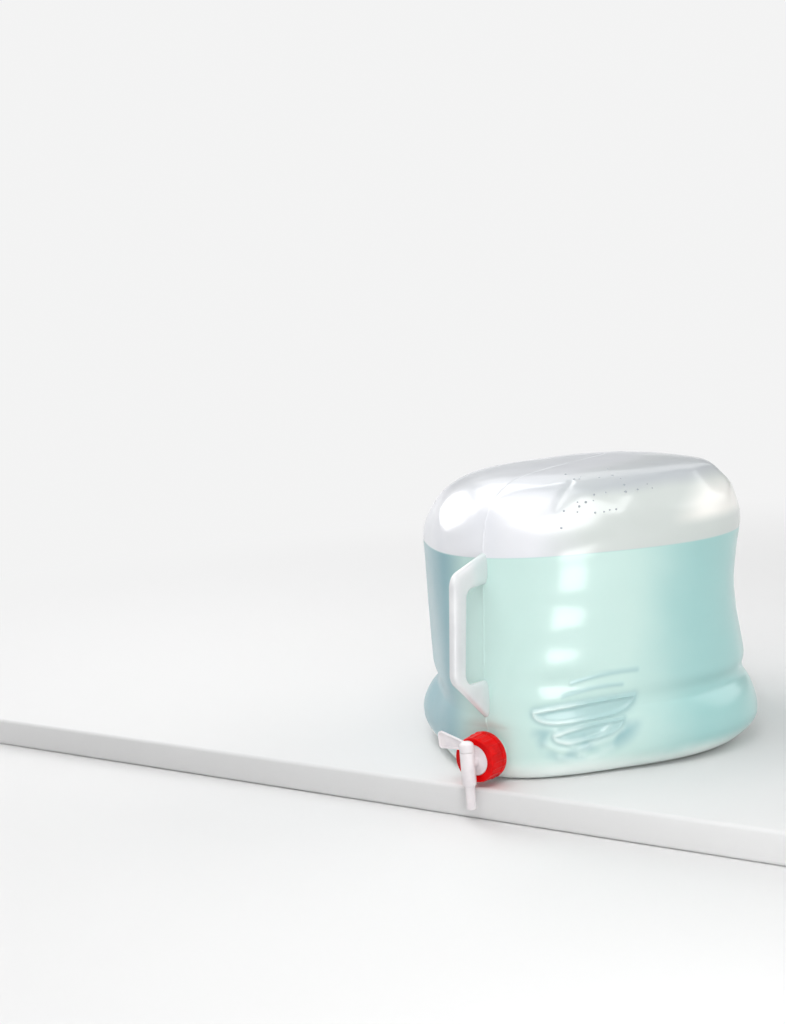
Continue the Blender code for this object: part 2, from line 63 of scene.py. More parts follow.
def colour(code: int) -> Colour:
    """Turns a screen colour such as 0xFFFFFF into the linear values that a shader takes.

    Args:
        code: Red, green and blue, one byte each.

    Returns:
        The three linear values.
    """
    top = 255
    shares = [(code >> shift & top) / top for shift in (16, 8, 0)]
    return tuple(s / 12.92 if s <= 0.04045 else ((s + 0.055) / 1.055) ** 2.4 for s in shares)


def title(name: str) -> str:
    """A field's name as a tree's input shows it, such as Strong ribs for strong_ribs."""
    return name.replace("_", " ").capitalize()


class Graph:
    """A node tree that is being put together, for a shader or for geometry."""

    def __init__(self, tree: bpy.types.NodeTree) -> None:
        """Keeps the tree.

        Args:
            tree: The tree to add nodes to.
        """
        self.tree = tree
        self.entry: Optional[bpy.types.Node] = None

    @classmethod
    def geometry(cls, name: str) -> "Graph":
        """Starts a Geometry Nodes tree with a geometry input and output.

        Args:
            name: What the tree makes.

        Returns:
            The graph, with its entry node in place.
        """
        tree = bpy.data.node_groups.new(name, "GeometryNodeTree")
        tree.interface.new_socket("Geometry", in_out="INPUT", socket_type="NodeSocketGeometry")
        tree.interface.new_socket("Geometry", in_out="OUTPUT", socket_type="NodeSocketGeometry")
        graph = cls(tree)
        graph.entry = tree.nodes.new("NodeGroupInput")
        return graph

    @classmethod
    def shader_group(cls, name: str) -> "Graph":
        """Starts a shader node group with its entry node.

        Args:
            name: The effect that the group gives.

        Returns:
            The graph.
        """
        graph = cls(bpy.data.node_groups.new(name, "ShaderNodeTree"))
        graph.entry = graph.tree.nodes.new("NodeGroupInput")
        return graph

    def socket(self, name: str, kind: str, default: Any = None) -> "Value":
        """Adds a named input to the tree.

        Args:
            name: The input's name.
            kind: Its socket type, such as NodeSocketFloat.
            default: The value it holds until it is set.

        Returns:
            The input, as it leaves the entry node.
        """
        made = self.tree.interface.new_socket(name, in_out="INPUT", socket_type=kind)
        if default is not None:
            made.default_value = default
        return Value(self, self.entry.outputs[name])

    def number(self, name: str, default: float) -> "Value":
        """Adds a named number to the tree's inputs."""
        return self.socket(name, "NodeSocketFloat", default)

    def node(self, kind: str, feeds: Optional[dict] = None, **settings: Any) -> bpy.types.Node:
        """Adds a node.

        Args:
            kind: Its type.
            feeds: What goes into its sockets, by socket name or number.
            settings: Its own options.

        Returns:
            The node.
        """
        made = self.tree.nodes.new(kind)
        for name, value in settings.items():
            setattr(made, name, value)
        for key, part in (feeds or {}).items():
            self.feed(made.inputs[key], part)
        return made

    def feed(self, socket: bpy.types.NodeSocket, part: Any) -> None:
        """Links a value to a socket, or sets the socket to a plain value.

        Args:
            socket: The socket.
            part: A Value, another node's output, or something plain.
        """
        if isinstance(part, Value):
            self.tree.links.new(part.socket, socket)
        elif isinstance(part, bpy.types.NodeSocket):
            self.tree.links.new(part, socket)
        else:
            socket.default_value = part

    def value(self, kind: str, feeds: Optional[dict] = None, out: Any = 0, **settings: Any) -> "Value":
        """Adds a node and gives one of its outputs as a value."""
        return Value(self, self.node(kind, feeds, **settings).outputs[out])

    def maths(self, operation: str, *parts: "Number") -> "Value":
        """Adds one step of arithmetic."""
        return self.value("ShaderNodeMath", dict(enumerate(parts)), operation=operation)

    def ramp(self, part: "Number", start: float, end: float, low: float = 0.0, high: float = 1.0) -> "Value":
        """A smooth rise from low to high while a value goes from start to end.

        Args:
            part: The value that goes from start to end.
            start: Where the rise begins.
            end: Where it ends, which may lie below its start.
            low: The result at the start.
            high: The result at the end.

        Returns:
            The result.
        """
        feeds = {0: part, 1: start, 2: end, 3: low, 4: high}
        return self.value("ShaderNodeMapRange", feeds, interpolation_type="SMOOTHSTEP")

    def split(self, vector: Any) -> tuple["Value", "Value", "Value"]:
        """The three parts of a vector."""
        made = self.node("ShaderNodeSeparateXYZ", {0: vector})
        return tuple(Value(self, out) for out in made.outputs)

    def join(self, x: "Number", y: "Number", z: "Number") -> "Value":
        """A vector from its three parts."""
        return self.value("ShaderNodeCombineXYZ", {0: x, 1: y, 2: z})

    def mix(self, share: "Number", base: Any, other: Any) -> "Value":
        """A mix of two colours, from the base at share 0 to the other at 1."""
        base, other = (part if isinstance(part, Value) else (*part, 1.0) for part in (base, other))
        return self.value("ShaderNodeMix", {0: share, 6: base, 7: other}, out=2, data_type="RGBA")

    def placed(self, spot: Any) -> "Value":
        """The tree's own geometry with its points put elsewhere."""
        return self.value("GeometryNodeSetPosition", {"Geometry": self.entry.outputs[0], "Position": spot})

    def dot(self, one: Any, other: Any) -> "Value":
        """How far one vector reaches along another."""
        return self.value("ShaderNodeVectorMath", {0: one, 1: other}, out="Value", operation="DOT_PRODUCT")

    def scaled(self, vector: Any, share: "Number") -> "Value":
        """A vector made longer or shorter."""
        return self.value("ShaderNodeVectorMath", {0: vector, 3: share}, operation="SCALE")

    def noise(self, place: Any, grain: "Number", detail: float) -> "Value":
        """Soft random numbers from 0 to 1.

        Args:
            place: The coordinates.
            grain: The size of its lumps, in metres.
            detail: How many finer layers it has.

        Returns:
            The number.
        """
        feeds = {"Vector": place, "Scale": 1.0 / grain, "Detail": detail}
        return self.value("ShaderNodeTexNoise", feeds)

    def finish_geometry(self, shape: Any, material: bpy.types.Material) -> None:
        """Ends the tree with real meshes in their material.

        Args:
            shape: The geometry.
            material: What it is made of.
        """
        real = self.value("GeometryNodeRealizeInstances", {0: shape})
        painted = self.value("GeometryNodeSetMaterial", {0: real, "Material": material})
        self.node("NodeGroupOutput", {0: painted})


@dataclass(frozen=True)
class Value:
    """A number, colour or vector that a node tree works out, and that takes plain arithmetic."""

    graph: Graph
    socket: bpy.types.NodeSocket

    def __add__(self, other: "Number") -> "Value":
        """This plus another."""
        return call("ADD", self, other)

    def __radd__(self, other: "Number") -> "Value":
        """Another plus this."""
        return call("ADD", other, self)

    def __sub__(self, other: "Number") -> "Value":
        """This minus another."""
        return call("SUBTRACT", self, other)

    def __rsub__(self, other: "Number") -> "Value":
        """Another minus this."""
        return call("SUBTRACT", other, self)

    def __mul__(self, other: "Number") -> "Value":
        """This times another."""
        return call("MULTIPLY", self, other)

    def __rmul__(self, other: "Number") -> "Value":
        """Another times this."""
        return call("MULTIPLY", other, self)

    def __truediv__(self, other: "Number") -> "Value":
        """This divided by another."""
        return call("DIVIDE", self, other)

    def __rtruediv__(self, other: "Number") -> "Value":
        """Another divided by this."""
        return call("DIVIDE", other, self)

    def __neg__(self) -> "Value":
        """This with its sign turned."""
        return call("MULTIPLY", self, -1.0)


Number = Union[float, Value]

PLAIN: dict[str, Callable[..., float]] = {
    "POWER": pow,
    "MINIMUM": min,
    "MAXIMUM": max,
    "ABSOLUTE": abs,
    "SQRT": math.sqrt,
    "SINE": math.sin,
    "COSINE": math.cos,
    "EXPONENT": math.exp,
    "WRAP": lambda value, top, low: low + (value - low) % (top - low),
}


def call(operation: str, *parts: Number) -> Number:
    """Does one step of arithmetic, so that a formula serves plain numbers and node trees alike.

    Args:
        operation: Its name, as a Math node has it.
        parts: The numbers, of which any may be a tree's value.

    Returns:
        A plain number, or a value of the tree that the parts belong to.
    """
    for part in parts:
        if isinstance(part, Value):
            return part.graph.maths(operation, *parts)
    return PLAIN[operation](*parts)


def bell(distance: Number, spread: Number) -> Number:
    """1 at no distance, falling away smoothly on both sides."""
    share = distance / spread
    return call("EXPONENT", -1.0 * share * share)


def smooth_step(value: Number) -> Number:
    """0 to 1 with level ends."""
    held = call("MINIMUM", call("MAXIMUM", value, 0.0), 1.0)
    return held * held * (3.0 - 2.0 * held)


@dataclass(frozen=True)
class BodyForm:
    """The rounded cube of the body: its sizes and the formula of its outside."""

    half_side: Number = 0.150
    height: Number = 0.272
    plan_power: Number = 2.6
    shoulder_start: Number = 0.122
    shoulder_power: Number = 4.8
    base_radius: Number = 0.018
    flare_top: Number = 0.215
    flare_low: Number = 0.045
    near_flare: Number = 0.014
    far_flare: Number = 0.010
    flare_spread: Number = math.radians(24)
    lobe_out: Number = 0.0095
    lobe_height: Number = 0.062
    lobe_spread: Number = math.radians(44)
    left_lobe_out: Number = 0.0140
    left_lobe_angle: Number = math.radians(-155)
    left_lobe_spread: Number = math.radians(36)
    notch_deep: Number = 0.0045
    notch_height: Number = 0.068
    notch_spread: Number = 0.009
    brow_out: Number = 0.0045
    brow_height: Number = 0.214
    brow_spread: Number = 0.020
    corner_round: Number = 0.012
    right_fullness: Number = 0.85
    waist_deep: Number = 0.0075
    waist_angle: Number = math.radians(16)
    waist_spread: Number = math.radians(26)
    waist_height: Number = 0.140
    waist_reach: Number = 0.046
    left_fullness: Number = -0.15
    facet_reach: Number = 0.175
    facet_top: Number = 0.050

    def from_corner(self, angle: Number, corner: Number, spread: Number) -> Number:
        """1 at an upright corner, falling away round the body.

        Args:
            angle: The direction from the upright axis.
            corner: The corner's direction.
            spread: How far it reaches, in radians.

        Returns:
            The share.
        """
        away = call("WRAP", angle - corner, math.pi, -math.pi)
        return bell(away, spread)

    def side(self, angle: Number) -> Number:
        """1 at the two upright corners without a grip, falling away round the body."""
        right = self.from_corner(angle, 0.0, self.lobe_spread)
        return right + self.from_corner(angle, math.pi, self.lobe_spread)

    def swell(self, angle: Number, height: Number) -> Number:
        """How far the body stands out beyond its plain shape.

        Args:
            angle: The direction from the upright axis.
            height: The height above the base.

        Returns:
            The distance, outward.
        """
        foot = smooth_step((self.flare_top - height) / (self.flare_top - self.flare_low))
        out = self.near_flare * foot * self.from_corner(angle, -QUARTER, self.flare_spread)
        out = out + self.far_flare * foot * self.from_corner(angle, QUARTER, self.flare_spread)
        share = call("MINIMUM", call("MAXIMUM", height / self.lobe_height, 0.0), 1.0)
        lobe = call("SINE", math.pi * share)
        notch = bell(height - self.notch_height, self.notch_spread)
        brow = bell(height - self.brow_height, self.brow_spread)
        right = self.from_corner(angle, 0.0, self.lobe_spread)
        left = self.from_corner(angle, self.left_lobe_angle, self.left_lobe_spread)
        out = out + (self.lobe_out * right + self.left_lobe_out * left) * lobe
        waist = self.from_corner(angle, self.waist_angle, self.waist_spread)
        out = out - self.waist_deep * waist * bell(height - self.waist_height, self.waist_reach)
        return out - self.notch_deep * (right + left) * notch + self.brow_out * brow * self.side(angle)

    def fullness(self, angle: Number) -> Number:
        """How square the shoulder is.

        Args:
            angle: The direction from the upright axis.

        Returns:
            1 for the plain shape, more at the right corner and less at the left one.
        """
        right = self.right_fullness * self.from_corner(angle, 0.0, self.lobe_spread)
        left = self.left_fullness * self.from_corner(angle, math.pi, self.lobe_spread)
        return 1.0 + right + left

    def shoulder(self, height: float, inset: float = 0.0) -> float:
        """The share of its width that the plain shape has at this height."""
        rise = max(0.0, (height - self.shoulder_start) / (self.height - inset - self.shoulder_start))
        return max(0.0, 1 - rise**self.shoulder_power) ** (1 / self.shoulder_power)

    def radius(self, angle: Number, height: Number, shoulder: Number, inset: Number = 0.0) -> Number:
        """The distance from the upright axis to the body's outside.

        Args:
            angle: The direction from the axis.
            height: The height above the base.
            shoulder: The share of its width that the plain shape has there.
            inset: How much the whole shape is shrunk.

        Returns:
            The distance.
        """
        across = angle - math.pi / 4
        cosine = call("POWER", call("ABSOLUTE", call("COSINE", across)), self.plan_power)
        sine = call("POWER", call("ABSOLUTE", call("SINE", across)), self.plan_power)
        plan = (self.half_side - inset) / call("POWER", cosine + sine, 1.0 / self.plan_power)
        edge = self.base_radius + self.corner_round * self.side(angle) - inset
        drop = call("MAXIMUM", edge - (height - inset), 0.0)
        cut = edge - call("SQRT", call("MAXIMUM", edge * edge - drop * drop, 0.0))
        return plan * shoulder + self.swell(angle, height) - cut

    def reach(self, height: float, side: int) -> float:
        """The body's reach at the foot of a grip, near (-1) or far (1)."""
        return self.radius(side * QUARTER, height, self.shoulder(height))

    def on_face(self, along: float, height: float) -> Vector:
        """A place on the right near face.

        Args:
            along: The distance from the face's middle towards the tap.
            height: The height above the base.

        Returns:
            The place on the body's outside.
        """
        lean, rounds = 0.0, 8
        for _ in range(rounds):
            radius = self.radius(-math.pi / 4 - lean, height, self.shoulder(height))
            lean = math.asin(along / radius)
        angle = -math.pi / 4 - lean
        return Vector((radius * math.cos(angle), radius * math.sin(angle), height))


@dataclass(frozen=True)
class Crescent:
    """A moulded rib on a face: a closed boat shape, or an open arc where it has no depth."""

    middle: float
    half_length: float
    top: float
    depth: float
    bow: float
    tilt: float = 0.07
    steps: int = 24
    power: float = 3.5

    def path(self) -> list[Place]:
        """The rib's line on the face.

        Returns:
            Its places, as distance from the face's middle towards the tap and height.
        """
        line = []
        for i in range(self.steps):
            part = 1 - 2 * i / (self.steps - 1)
            line.append((self.half_length * part, self.bow * (1 - part**2)))
        if self.depth:
            for i in range(1, self.steps + 1):
                part = math.cos(math.pi * i / (self.steps + 1))
                fall = math.sqrt(1 - abs(part) ** self.power)
                line.append((-self.half_length * part, -self.depth * fall))
        return [(self.middle + along, self.top + rise - self.tilt * along) for along, rise in line]


@dataclass(frozen=True)
class Flat:
    """A flat that the soft wall takes over its shoulder: its direction in degrees and its depth."""

    turn: float
    rise: float
    deep: float

    def normal(self) -> Vector:
        """The way it faces."""
        turn, rise = math.radians(self.turn), math.radians(self.rise)
        return Vector((math.cos(turn) * math.cos(rise), math.sin(turn) * math.cos(rise), math.sin(rise)))

    def limit(self) -> float:
        """How far the flat lies from the origin: the body's furthest reach that way, less the depth.

        Returns:
            The distance along the flat's normal.
        """
        normal, furthest, steps = self.normal(), 0.0, 45
        rise = FORM.height - FORM.shoulder_start
        for i in range(2 * steps):
            angle = math.pi * i / steps
            power = 2 / (FORM.shoulder_power * FORM.fullness(angle))
            for k in range(1, steps):
                lean = QUARTER * k / steps
                height = FORM.shoulder_start + rise * math.sin(lean) ** power
                radius = FORM.radius(angle, height, math.cos(lean) ** power)
                place = Vector((radius * math.cos(angle), radius * math.sin(angle), height))
                furthest = max(furthest, normal.dot(place))
        return furthest - self.deep


@dataclass(frozen=True)
class NeckForm:
    """Sizes that the neck, the ring and the tap share."""

    height: float = 0.026
    end: float = 0.192
    radius: float = 0.0172
    bore: float = 0.0142
    collar_radius: float = 0.0190
    collar_end: float = 0.1770
    pitch: float = 0.0042
    thread_start: float = 0.1818
    gap: float = 0.0003
    gasket: float = 0.0014
    valve: float = 0.2077

    def around(self, reach: float, radius: float, count: int) -> list[Vector]:
        """Points round the tap's level axis, anticlockwise seen from outside.

        Args:
            reach: Where they lie along it.
            radius: Their distance from it.
            count: How many there are.

        Returns:
            The points.
        """
        turn = 2 * math.pi / count
        return [
            Vector((radius * math.cos(i * turn), -reach, self.height + radius * math.sin(i * turn)))
            for i in range(count)
        ]

    def spun(self, name: str, profile: Sequence[Place], count: int) -> bpy.types.Object:
        """A turned shape on the tap's level axis, from its reaches and radii."""
        return new_object(name, loft(name, [self.around(reach, radius, count) for reach, radius in profile]))

    def upright(self, height: float, radius: float, count: int) -> list[Vector]:
        """Points round the valve's upright axis, anticlockwise seen from above.

        Args:
            height: Where they lie along it.
            radius: Their distance from it.
            count: How many there are.

        Returns:
            The points.
        """
        turn = 2 * math.pi / count
        return [
            Vector((radius * math.cos(i * turn), radius * math.sin(i * turn) - self.valve, height))
            for i in range(count)
        ]


FORM = BodyForm()
NECK = NeckForm()
# The rounding of most moulded edges, and how far a cutting tool reaches past a face.
EDGE = 0.0006
OVERLAP = 0.002


class Slot(Enum):
    """The record's material slots."""

    POLYETHYLENE = "polyethylene"
    RED = "red_plastic"
    WHITE = "white_plastic"
    RUBBER = "washer_rubber"


class Cut(Enum):
    """What a tool shape does to a piece."""

    ADD = "UNION"
    TAKE = "DIFFERENCE"


def new_object(name: str, mesh: bpy.types.Mesh) -> bpy.types.Object:
    """Puts a mesh in the scene as an object at the origin.

    Args:
        name: The object's name.
        mesh: Its mesh.

    Returns:
        The object.
    """
    made = bpy.data.objects.new(name, mesh)
    bpy.context.scene.collection.objects.link(made)
    return made


def settle(item: bpy.types.Object) -> None:
    """Gives an object the plain result of its modifiers and removes them.

    Args:
        item: The object.
    """
    depsgraph = bpy.context.evaluated_depsgraph_get()
    shown = item.evaluated_get(depsgraph)
    old = item.data
    item.data = bpy.data.meshes.new_from_object(shown, preserve_all_data_layers=True, depsgraph=depsgraph)
    item.modifiers.clear()
    item.data.name = item.name
    bpy.data.meshes.remove(old)


def grow(item: bpy.types.Object, graph: Graph, **sizes: Any) -> None:
    """Runs a Geometry Nodes tree on an object and keeps the plain result.

    Args:
        item: The object whose mesh the tree starts from.
        graph: The tree.
        sizes: Values for its named inputs, with underscores for spaces.
    """
    change = item.modifiers.new(graph.tree.name, "NODES")
    change.node_group = graph.tree
    wanted = {title(name): value for name, value in sizes.items()}
    for entry in graph.tree.interface.items_tree:
        if entry.item_type == "SOCKET" and entry.in_out == "INPUT" and entry.name in wanted:
            change[entry.identifier] = wanted.pop(entry.name)
    if wanted:
        raise ValueError(f"{graph.tree.name} has no inputs named {sorted(wanted)}")
    settle(item)


def carve(item: bpy.types.Object, tools: Sequence[tuple[Cut, bpy.types.Object]]) -> None:
    """Joins tool shapes to a piece or cuts them from it, in order, and deletes the tools.

    Args:
        item: The piece.
        tools: What each tool does, and the tool.
    """
    for cut, tool in tools:
        change = item.modifiers.new(tool.name, "BOOLEAN")
        change.operation = cut.value
        change.solver = "EXACT"
        change.object = tool
    settle(item)
    for _, tool in tools:
        bpy.data.objects.remove(tool, do_unlink=True)


def dress(item: bpy.types.Object, paint: bpy.types.Material, sharp: float = SHARP_EDGE) -> None:
    """Gives a finished piece its one material and its smooth shading.

    Args:
        item: The piece.
        paint: Its material.
        sharp: The angle past which an edge stays crisp.
    """
    mesh = item.data
    mesh.materials.clear()
    mesh.materials.append(paint)
    mesh.polygons.foreach_set("material_index", [0] * len(mesh.polygons))
    mesh.shade_smooth()
    mesh.set_sharp_from_angle(angle=sharp)
    LOG.info("%s: %d faces", item.name, len(mesh.polygons))


def mesh_from(name: str, shape: bmesh.types.BMesh, outward: bool = True) -> bpy.types.Mesh:
    """Writes a bmesh to a new mesh and frees it.

    Args:
        name: The mesh's name.
        shape: The bmesh.
        outward: Whether its faces are first turned to point out.

    Returns:
        The mesh.
    """
    if outward:
        bmesh.ops.recalc_face_normals(shape, faces=shape.faces)
    mesh = bpy.data.meshes.new(name)
    shape.to_mesh(mesh)
    shape.free()
    return mesh


def band(shape: bmesh.types.BMesh, low: Sequence[Any], high: Sequence[Any]) -> None:
    """Joins two loops of equally many points with a band of faces.

    Args:
        shape: The bmesh.
        low: The first loop.
        high: The second loop.
    """
    count = len(low)
    for i in range(count):
        j = (i + 1) % count
        shape.faces.new((low[i], low[j], high[j], high[i]))


def loft(name: str, rings: Sequence[Sequence[Vector]]) -> bpy.types.Mesh:
    """A closed mesh through rings of equally many points.

    Args:
        name: The mesh's name.
        rings: The rings, in order.

    Returns:
        The mesh.
    """
    shape = bmesh.new()
    loops = [[shape.verts.new(point) for point in ring] for ring in rings]
    for low, high in zip(loops, loops[1:]):
        band(shape, low, high)
    shape.faces.new(reversed(loops[0]))
    shape.faces.new(loops[-1])
    return mesh_from(name, shape)


def rounded(corners: Sequence[Place], radii: Sequence[float], steps: int = 6) -> list[Vector]:
    """A chain of places with each inner corner rounded.

    Args:
        corners: The places, first to last.
        radii: One radius for each place between the ends; 0 keeps a corner sharp.
        steps: The steps of each rounding.

    Returns:
        The chain.
    """
    chain = [Vector(corners[0])]
    for before, corner, after, radius in zip(corners, corners[1:], corners[2:], radii):
        corner = Vector(corner)
        if not radius:
            chain.append(corner)
            continue
        back = (Vector(before) - corner).normalized()
        ahead = (Vector(after) - corner).normalized()
        half = back.angle(ahead) / 2
        middle = corner + (back + ahead).normalized() * (radius / math.sin(half))
        start = corner + back * (radius / math.tan(half)) - middle
        turn = back.angle_signed(-ahead)
        for i in range(steps + 1):
            chain.append(middle + Matrix.Rotation(-turn * i / steps, 2) @ start)
    chain.append(Vector(corners[-1]))
    return chain


def turned(corners: Sequence[Point]) -> list[Vector]:
    """A turned piece's profile with rounded corners, from places and the radius of each corner."""
    places = [(reach, radius) for reach, radius, _ in corners]
    return rounded(places, [edge for _, _, edge in corners[1:-1]], steps=3)


def screw_thread(
    name: str, wall: float, high: float, start: float, turns: float, phase: float
) -> bpy.types.Object:
    """A right-handed ridge on the tap's level axis, with ends that fade out.

    Args:
        name: The tool's name.
        wall: The radius of the wall it stands on.
        high: How far it stands out, or in where it is negative.
        start: The reach of its first turn.
        turns: How many turns it has.
        phase: The angle at which it starts.

    Returns:
        The ridge, as a tool shape.
    """
    around, root, crest, sunk = 48, 0.0016, 0.0008, 0.0005
    fade_steps, tip = 8, 0.4
    steps = round(turns * around)
    rings = []
    for i in range(steps + 1):
        fade = min(1.0, (i + tip) / fade_steps, (steps - i + tip) / fade_steps)
        top = wall + high * fade
        foot = wall - math.copysign(sunk, high)
        middle = start + NECK.pitch * i / around
        angle = 2 * math.pi * i / around + phase
        outline = ((foot, -root / 2), (top, -crest / 2), (top, crest / 2), (foot, root / 2))
        rings.append([
            Vector((out * math.cos(angle), -(middle + along), NECK.height + out * math.sin(angle)))
            for out, along in outline
        ])
    return new_object(name, loft(name, rings))


class SharedEffects:
    """Node groups that several materials use."""

    cloud_size: float = 0.030
    scuff_size: float = 0.007
    scuff_rise: Rise = (0.58, 0.75)
    scuff_share: float = 0.6
    fine_share: float = 0.6

    def __init__(self) -> None:
        """Builds each group once."""
        self.moulded = self._moulded_grain()

    def _moulded_grain(self) -> bpy.types.NodeTree:
        """The fine unevenness of moulded plastic.

        Returns:
            A group that gives a roughness and a height from a place.
        """
        graph = Graph.shader_group("moulded_grain")
        place = graph.socket("Place", "NodeSocketVector")
        rough = graph.number("Roughness", 0.3)
        spread = graph.number("Unevenness", 0.1)
        grain = graph.number("Grain", 0.0015)
        cloud = graph.noise(place, self.cloud_size, detail=3.0)
        fine = graph.noise(place, grain, detail=2.0)
        scuff = graph.ramp(graph.noise(place, self.scuff_size, detail=4.0), *self.scuff_rise)
        roughness = rough + spread * (cloud - 0.5) + spread * self.scuff_share * scuff
        height = fine * self.fine_share + cloud * (1.0 - self.fine_share)
        for name in ("Roughness", "Height"):
            graph.tree.interface.new_socket(name, in_out="OUTPUT", socket_type="NodeSocketFloat")
        graph.node("NodeGroupOutput", {0: roughness, 1: height})
        return graph.tree


@dataclass(frozen=True)
class Finish:
    """What every plastic here has: gloss, grain and how light sinks in."""

    name: str
    roughness: float
    unevenness: float = 0.08
    grain: float = 0.0015
    bump: float = 0.00002
    specular: float = 0.5
    coat: float = 0.0
    coat_roughness: float = 0.12
    depth: float = 0.0
    depth_scale: float = 0.0015

    def start(self, effects: SharedEffects) -> tuple[bpy.types.Material, Graph, bpy.types.Node, Value]:
        """Makes the material with its gloss and grain, ready for its colour.

        Args:
            effects: The shared node groups.

        Returns:
            The material, its graph, its shader node and the place on the piece.
        """
        made = bpy.data.materials.new(self.name)
        made.use_nodes = True
        graph = Graph(made.node_tree)
        shader = made.node_tree.nodes["Principled BSDF"]
        place = graph.value("ShaderNodeTexCoord", out="Object")
        values = {"Roughness": self.roughness, "Unevenness": self.unevenness, "Grain": self.grain}
        grain = graph.node("ShaderNodeGroup", {"Place": place, **values}, node_tree=effects.moulded)
        relief = {"Height": grain.outputs["Height"], "Distance": self.bump, "Strength": 1.0}
        bump = graph.node("ShaderNodeBump", relief)
        graph.feed(shader.inputs["Roughness"], grain.outputs["Roughness"])
        graph.feed(shader.inputs["Normal"], bump.outputs["Normal"])
        shader.inputs["Specular IOR Level"].default_value = self.specular
        shader.inputs["Coat Weight"].default_value = self.coat
        shader.inputs["Coat Roughness"].default_value = self.coat_roughness
        if self.depth:
            shader.inputs["Subsurface Weight"].default_value = self.depth
            shader.inputs["Subsurface Radius"].default_value = (1.0, 1.0, 1.0)
            shader.inputs["Subsurface Scale"].default_value = self.depth_scale
        return made, graph, shader, place


@dataclass(frozen=True)
class MilkyWall:
    """Translucent polyethylene: clear of water above a level, tinted by the water below it."""

    finish: Finish = Finish("milky_wall", 0.34, 0.08, 0.0060, specular=0.4, coat=0.5, depth=0.25)
    dry: Colour = colour(0xE4E5E9)
    dry_shade: Colour = colour(0xDADCE2)
    # Painted shade on the right part of the wall above the water.
    dry_right: Colour = colour(0xCAD0CD)
    # Painted highlight: a pale cream patch near the right top corner.
    dry_cream: Colour = colour(0xF1F0EB)
    # Painted shade on the top of the wall.
    dry_top: Colour = colour(0xB6BBBF)
    wet: Colour = colour(0xC5E0DA)
    # Painted shade towards the right corner, also the colour of the thin water line.
    wet_deep: Colour = colour(0xA0CBC9)
    # Painted shade: the wet wall on the left face, darker where less light falls.
    wet_left: Colour = colour(0x79A8B2)
    foot: Colour = colour(0xF0FAF6)
    # Painted shade beside and inside the ribs.
    rib_shade: Colour = colour(0x8DB7BC)
    level: float = 0.205
    level_edge: float = 0.0005
    line_width: float = 0.0011
    line_share: float = 0.35
    cloud_size: float = 0.080
    side_drift: float = 0.05
    edge_drift: float = 0.02
    top_drift: float = 0.012
    # Where the painted shade towards the right corner rises and fades.
    deep_start: Rise = (0.000, 0.085)
    deep_fade: Rise = (0.190, 0.110, 0.45, 1.0)
    left_reach: Rise = (-0.012, -0.060)
    foot_rise: Rise = (0.026, 0.004)
    shade_rise: Rise = (0.35, 0.65)
    right_reach: Rise = (0.035, 0.095)
    cream_reach: Rise = (0.138, 0.160)
    cream_rise: Rise = (0.218, 0.230)
    top_rise: Rise = (0.250, 0.263)
    top_reach: Rise = (0.030, 0.110, 0.45, 0.95)
    # How strongly the painted shade and the painted highlight of the ribs show.
    hollow_share: float = 0.85
    crest_share: float = 0.55

    def water(self, graph: Graph, place: Value, drift: Value) -> Value:
        """The wall's colour where there is water behind it, with painted shade on the left face and towards
        the right corner.

        Args:
            graph: The material's tree.
            place: The place on the body.
            drift: A soft unevenness of the colours' borders, about 0.

        Returns:
            The colour.
        """
        x, y, z = graph.split(place)
        along = (x + y) * DIAGONAL + drift * self.side_drift
        # Painted shade along the right near face towards its right corner.
        deep = graph.ramp(along, *self.deep_start) * graph.ramp(along, *self.deep_fade)
        tint = graph.mix(deep, self.wet, self.wet_deep)
        # Painted shade on the left face.
        tint = graph.mix(graph.ramp(x, *self.left_reach), tint, self.wet_left)
        return graph.mix(graph.ramp(z + drift * self.edge_drift, *self.foot_rise), tint, self.foot)

    def air(self, graph: Graph, place: Value, drift: Value) -> Value:
        """The wall's colour above the water, with painted shade on its right part and on the top, and a
        painted cream highlight near the right corner.

        Args:
            graph: The material's tree.
            place: The place on the body.
            drift: A soft unevenness of the colours' borders, about 0.

        Returns:
            The colour.
        """
        x, _, z = graph.split(place)
        tint = graph.mix(graph.ramp(drift + 0.5, *self.shade_rise), self.dry, self.dry_shade)
        # Painted shade on the right part above the water.
        tint = graph.mix(graph.ramp(x + drift * self.side_drift, *self.right_reach), tint, self.dry_right)
        # Painted cream highlight near the right top corner.
        cream = graph.ramp(x + drift * self.edge_drift, *self.cream_reach) * graph.ramp(z, *self.cream_rise)
        tint = graph.mix(cream, tint, self.dry_cream)
        # Painted shade on the top.
        top = graph.ramp(z + drift * self.top_drift, *self.top_rise) * graph.ramp(x, *self.top_reach)
        return graph.mix(top, tint, self.dry_top)

    def make(self, effects: SharedEffects) -> bpy.types.Material:
        """Builds the material.

        Args:
            effects: The shared node groups.

        Returns:
            The material.
        """
        made, graph, shader, place = self.finish.start(effects)
        z = graph.split(place)[2]
        drift = graph.noise(place, self.cloud_size, detail=2.0) - 0.5
        below = graph.ramp(z, self.level + self.level_edge, self.level - self.level_edge)
        base = graph.mix(below, self.air(graph, place, drift), self.water(graph, place, drift))
        line = call("MAXIMUM", 1.0 - call("ABSOLUTE", z - self.level) / self.line_width, 0.0)
        base = graph.mix(line * self.line_share, base, self.wet_deep)
        crest, hollow = (
            graph.value("ShaderNodeAttribute", out="Fac", attribute_name=name)
            for name in ("rib_crest", "rib_hollow")
        )
        # Painted shade beside the strong ribs, along the faint ones and inside the boats, and darker patches
        # by the lower boat.
        base = graph.mix(hollow * self.hollow_share, base, self.rib_shade)
        # Painted highlight along the rib crests and the wrinkles, in the pale foot colour.
        base = graph.mix(crest * self.crest_share, base, self.foot)
        graph.feed(shader.inputs["Base Color"], base)
        return made


